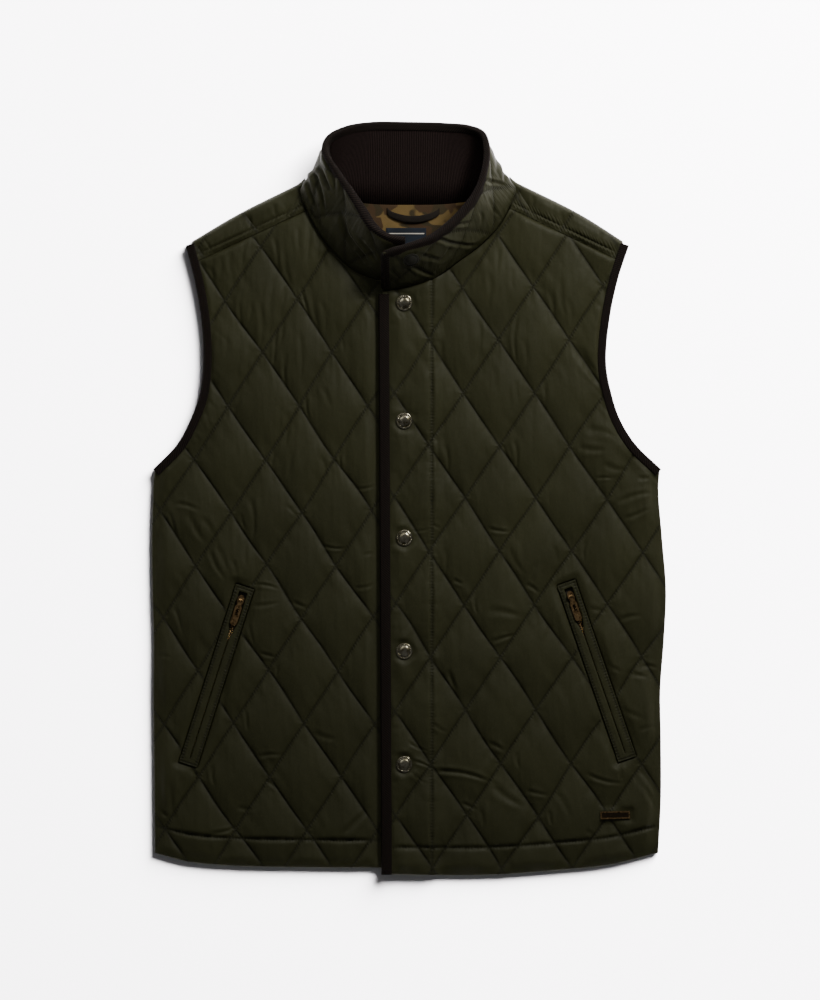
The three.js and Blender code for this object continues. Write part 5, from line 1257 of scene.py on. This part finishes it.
cap_points, cap_faces = snap_cap()
for n, snap_y in enumerate(SNAP_YS):
    snap = "snap_%d" % (n + 1)
    make_piece(snap + "_cap", cap_points + [SNAP_X, snap_y, SNAP_SEAT], cap_faces, snap_brass, "snap_metal", snap)
snap_at, _, snap_up, snap_out = (part[0] for part in collar_frames(*COLLAR_SNAP_AT[:2]))
snap_side = np.cross(snap_up, snap_out)
turn_to = np.stack([snap_side, np.cross(snap_out, snap_side), snap_out])
# Its dark matt finish is painted shade
make_piece("snap_collar_cap", cap_points @ turn_to + snap_at + snap_out * COLLAR_SNAP_AT[2], cap_faces,
           snap_dark, "dark_snap", "snap_collar")


# Pockets

def slit_half(y):
    """Half of the slit's width: wide at the slider, closing below the pull."""
    return blend_to(SLIT_END / 2, SLIT_TOP / 2, ease((y - 37.0) / 26.0))


def welt_edge(x, y):
    """The distance inwards from a welt's outer edge."""
    return np.minimum(WELT_WIDTH / 2 - np.abs(x), WELT_LENGTH / 2 - np.abs(y))


def welt_top(x, y):
    edge = welt_edge(x, y)
    row = np.exp(-((edge - 2.0) / 0.8) ** 2)
    sag = 0.12 * uneven(61, y / 9.0) + gathers(62, y, 3.2, edge, 3, 0.08)
    swell = rounded(edge / 1.0) * blend_to(0.35, 1.0, rounded((np.abs(x) - slit_half(y)) / 2.2))
    height = WELT_LOW + 0.5 + (WELT_TOP - WELT_LOW - 0.5) * swell - 0.45 * row + sag
    return np.where(np.abs(y) > 91, WELT_TOP - 0.3 - 0.4 * row, height)


def welt(side):
    """Two folded lips round a slit, stitched down along their outer edges."""
    ring = ring_of(rectangle(WELT_WIDTH, WELT_LENGTH), 1.6)
    slit_y = np.linspace(-92, 92, 110)
    slit = np.concatenate([np.column_stack([slit_half(slit_y), slit_y]),
                           np.column_stack([-slit_half(slit_y), slit_y])[::-1]])
    points, faces = sheet_mesh([ring, slit], grid_points(ring, 0.9), welt_top, level(WELT_LOW), (0.35, 0.8))
    flat = points[:, :2].copy()
    seams = np.column_stack([flat[:, 1], np.abs(welt_edge(*flat.T) - 2.0)])
    half_x, half_y = WELT_WIDTH / 2 - 2, WELT_LENGTH / 2 - 2
    rows = [[(x, -half_y), (x, half_y)] for x in (-half_x, half_x)]
    rows += [[(-half_x, y), (half_x, y)] for y in (-half_y, half_y)]
    sewn, sewn_faces = stitch_row(np.concatenate([stitches_on(row, welt_top, WELT_PITCH) for row in rows]),
                                  WELT_THREAD)
    points[:, :2] = pocket_points(side, flat)
    sewn[:, :2] = pocket_points(side, sewn[:, :2])
    name = "pocket_" + side + "_welt"
    lips = make_piece(name + "_lips", points, faces, quilt, "quilt", name, flat, seams)
    make_piece("stitching_welt_" + side, sewn, sewn_faces, thread, "quilt")
    return lips


def tooth(hand, y):
    """One metal tooth of the chain, narrowing towards the middle. The last one lies spread at the slider."""
    spread = 0.35 if y < 76 else 1.0
    points = np.array([(hand * (reach - 0.2 + spread * 0.3), y + dy * thick, FRONT_FLOOR + 1.45 + dz * thick * 1.4)
                       for reach, thick in ((2.25, 0.85), (1.7, 1.0), (0.2, 0.9), (-0.55, 0.6))
                       for dy, dz in ((-0.55, -0.5), (0.55, -0.5), (0.55, 0.5), (-0.55, 0.5))])
    return points, outward(points - points.mean(axis=0), ring_faces(4, 4))


def zip_chain(side):
    """The tape under the slit, and metal teeth from its lower end to the slider."""
    columns, rows = 15, 94
    x, y = np.meshgrid(np.linspace(-TAPE_WIDTH / 2, TAPE_WIDTH / 2, columns + 1),
                       np.linspace(-TAPE_LENGTH / 2, TAPE_LENGTH / 2, rows + 1), indexing="ij")
    x, y = x.ravel(), y.ravel()
    weave = FRONT_FLOOR + 0.7 + 0.06 * np.sin(y * 2.1) * (np.abs(x) > 2)
    points = np.concatenate([np.column_stack([x, y, z]) for z in (weave, np.full(x.size, FRONT_FLOOR))])
    flat = points[:, :2].copy()
    points[:, :2] = pocket_points(side, flat)
    name = "pocket_" + side
    tape = make_piece(name + "_tape", points, wall_faces(columns, rows), zip_cloth, "zip_tape", name + "_zip", flat)
    points, faces = joined([tooth(1 if n % 2 else -1, y) for n, y in enumerate(np.arange(-89, 78, 1.35))])
    points[:, :2] = pocket_points(side, points[:, :2])
    make_piece(name + "_teeth", points, faces, aged_brass, "aged_brass")
    return tape


pockets = {side: (welt(side), zip_chain(side)) for side in POCKETS}

# The small hard pieces keep their shape and get their finish
for node in ("pocket_right_slider", "pocket_left_slider", "pocket_right_pull", "pocket_left_pull", "hem_plate"):
    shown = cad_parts[node]
    shown.data.materials.clear()
    shown.data.materials.append(aged_brass)

field_ring = ring_of(rectangle(28.0, 5.0), 0.7)
points, faces = sheet_mesh([field_ring], grid_points(field_ring, 0.7),
                           lambda x, y: 9.36 + 0.02 * uneven(65, x / 1.7), level(9.215), (0.2,))
points[:, :2] = turned_by(points, PLATE_TURN, PLATE_AT)
make_piece("hem_plate_field", points, faces, dark_field, "aged_brass")


# Inside the neck

def neck_lining():
    centre = np.array([-1.0, 300.0])
    around = np.concatenate([NECK["right"][1:], NECK["left"][NECK["left"][:, 0] > 0][:-1]])
    around = centre + (around - centre) * (1 - 6.5 / np.linalg.norm(around - centre, axis=1))[:, None]
    top_line = NECK_BACK[np.abs(NECK_BACK[:, 0]) < 96] + [0, 1.6]
    ring = ring_of(np.concatenate([top_line, around]), 2.5)

    def top(x, y):
        return LINING_TOP + 0.2 * uneven_field(63, x / 17, y / 9) * ease((300 - y) / 6)

    points, faces = sheet_mesh([ring], grid_points(ring, 2.5), top, level(LINING_FLOOR), (0.6,))
    return make_piece("neck_lining_cloth", points, faces, tan_lining, "lining", "neck_lining", points[:, :2])


def ribbon(name, centre, width, length, low, thick, material, stands_for=None):
    """A small woven ribbon with softened edges."""
    ring = ring_of(rectangle(width, length), 1.0)

    def top(x, y):
        edge = np.minimum(width / 2 - np.abs(x), length / 2 - np.abs(y))
        return low + thick * blend_to(0.45, 1.0, ease(edge / 0.5)) + 0.05 * uneven(64, x / 3.0)

    points, faces = sheet_mesh([ring], grid_points(ring, 1.0), top, level(low), (0.3,))
    points[:, :2] += centre
    return make_piece(name, points, faces, material, "label", stands_for, points[:, :2])


def hanger_loop():
    share = np.linspace(0, 1, 60)
    arch = np.sin(math.pi * share)
    at = np.column_stack([-23 + 55 * share, 303 - 9 * arch ** 0.6, LINING_TOP + 0.3 + 2.2 * arch])
    section = np.array([(0, -3.5, 0.15), (0, -3.3, 0), (0, 3.3, 0), (0, 3.5, 0.15), (0, 3.5, 0.85), (0, 3.3, 1),
                        (0, 1.2, 0.94), (0, 0, 1.02), (0, -1.2, 0.94), (0, -3.3, 1), (0, -3.5, 0.85)])
    points = (at[:, None] + section).reshape(-1, 3)
    faces = outward(points - points.mean(axis=0), ring_faces(len(at), len(section)))
    make_piece("hanger_loop_strap", points, faces, dark_strap, "strap", "hanger_loop")


lining = neck_lining()
label = ribbon("neck_label_ribbon", (-3.0, 274.0), 42.0, 22.0, 5.6, 0.5, navy_ribbon, "neck_label")
ribbon("neck_label_stripe", (-3.0, 279.0), 38.0, 1.1, 6.12, 0.1, pale_ribbon)
hanger_loop()

for side, (lips, tape) in pockets.items():
    "front_" + side + "_quilted"
    for layer, under in (("front", "front_" + side + "_quilted"), ("back", "back_quilted")):
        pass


# Surface, light and camera

def surface():
    f = Finish("pale_surface")
    drift = f.noise(f.position(), 0.6, 2.0)
    f.set(Base_Color=f.color(drift.between(0.3, 0.7), (0.45, 0.443, 0.45), (0.46, 0.453, 0.46)), Roughness=0.9,
          Specular_IOR_Level=0.1)
    mesh = bpy.data.meshes.new("surface")
    mesh.from_pydata([(x, y, -0.0004) for x, y in rectangle(40.0, 40.0)], [], [(0, 1, 2, 3)])
    mesh.materials.append(f.material)
    plane = bpy.data.objects.new("surface", mesh)
    bpy.context.scene.collection.objects.link(plane)
    return plane


def softbox(name, place, target, size, power, color=(1.0, 1.0, 1.0)):
    data = bpy.data.lights.new(name, "AREA")
    data.shape = "RECTANGLE"
    data.size, data.size_y = size
    data.energy = power
    data.color = color
    lamp = bpy.data.objects.new(name, data)
    lamp.location = place
    lamp.rotation_euler = (Vector(target) - Vector(place)).to_track_quat("-Z", "Y").to_euler()
    bpy.context.scene.collection.objects.link(lamp)
    return lamp


def light_only(lamp, name, receivers):
    """Keeps a light's work to some of the objects."""
    lit = bpy.data.collections.new(name)
    for receiver in receivers:
        lit.objects.link(receiver)
    lamp.light_linking.receiver_collection = lit


floor = surface()
softbox("key_light", (0.75, 1.0, 0.95), (0, 0, 0), (0.36, 0.36), 38.0, (1.0, 0.985, 0.96))
softbox("top_light", (0.1, 1.9, 1.2), (0, 0.1, 0), (1.2, 0.4), 8.0)
fill = softbox("fill_light", (-1.1, 1.7, 2.8), (0, 0, 0), (1.8, 1.4), 24.0)
light_only(fill, "all_but_surface", [p for p in bpy.context.scene.objects if p.type == "MESH" and p is not floor])
backdrop = softbox("backdrop_light", (3.6, 4.5, 2.9), (0, 0, 0), (4.2, 4.2), 17600.0, (1.0, 0.985, 1.0))
light_only(backdrop, "backdrop_only", [floor])
world = bpy.data.worlds.new("studio")
world.use_nodes = True
background = world.node_tree.nodes["Background"]
background.inputs["Color"].default_value = (0.96, 0.97, 1.0, 1.0)
background.inputs["Strength"].default_value = 0.17
bpy.context.scene.world = world

CAMERA_HEIGHT = 9.0
PICTURE_HEIGHT = 1.05
camera_data = bpy.data.cameras.new("camera")
camera_data.sensor_width = 36.0
camera_data.lens = 36.0 * CAMERA_HEIGHT / PICTURE_HEIGHT
camera_data.clip_end = 60.0
camera = bpy.data.objects.new("camera", camera_data)
camera.location = (1.05 * MM + SHIFT[0], -0.525 * MM + SHIFT[1], CAMERA_HEIGHT)
bpy.context.scene.collection.objects.link(camera)
bpy.context.scene.camera = camera
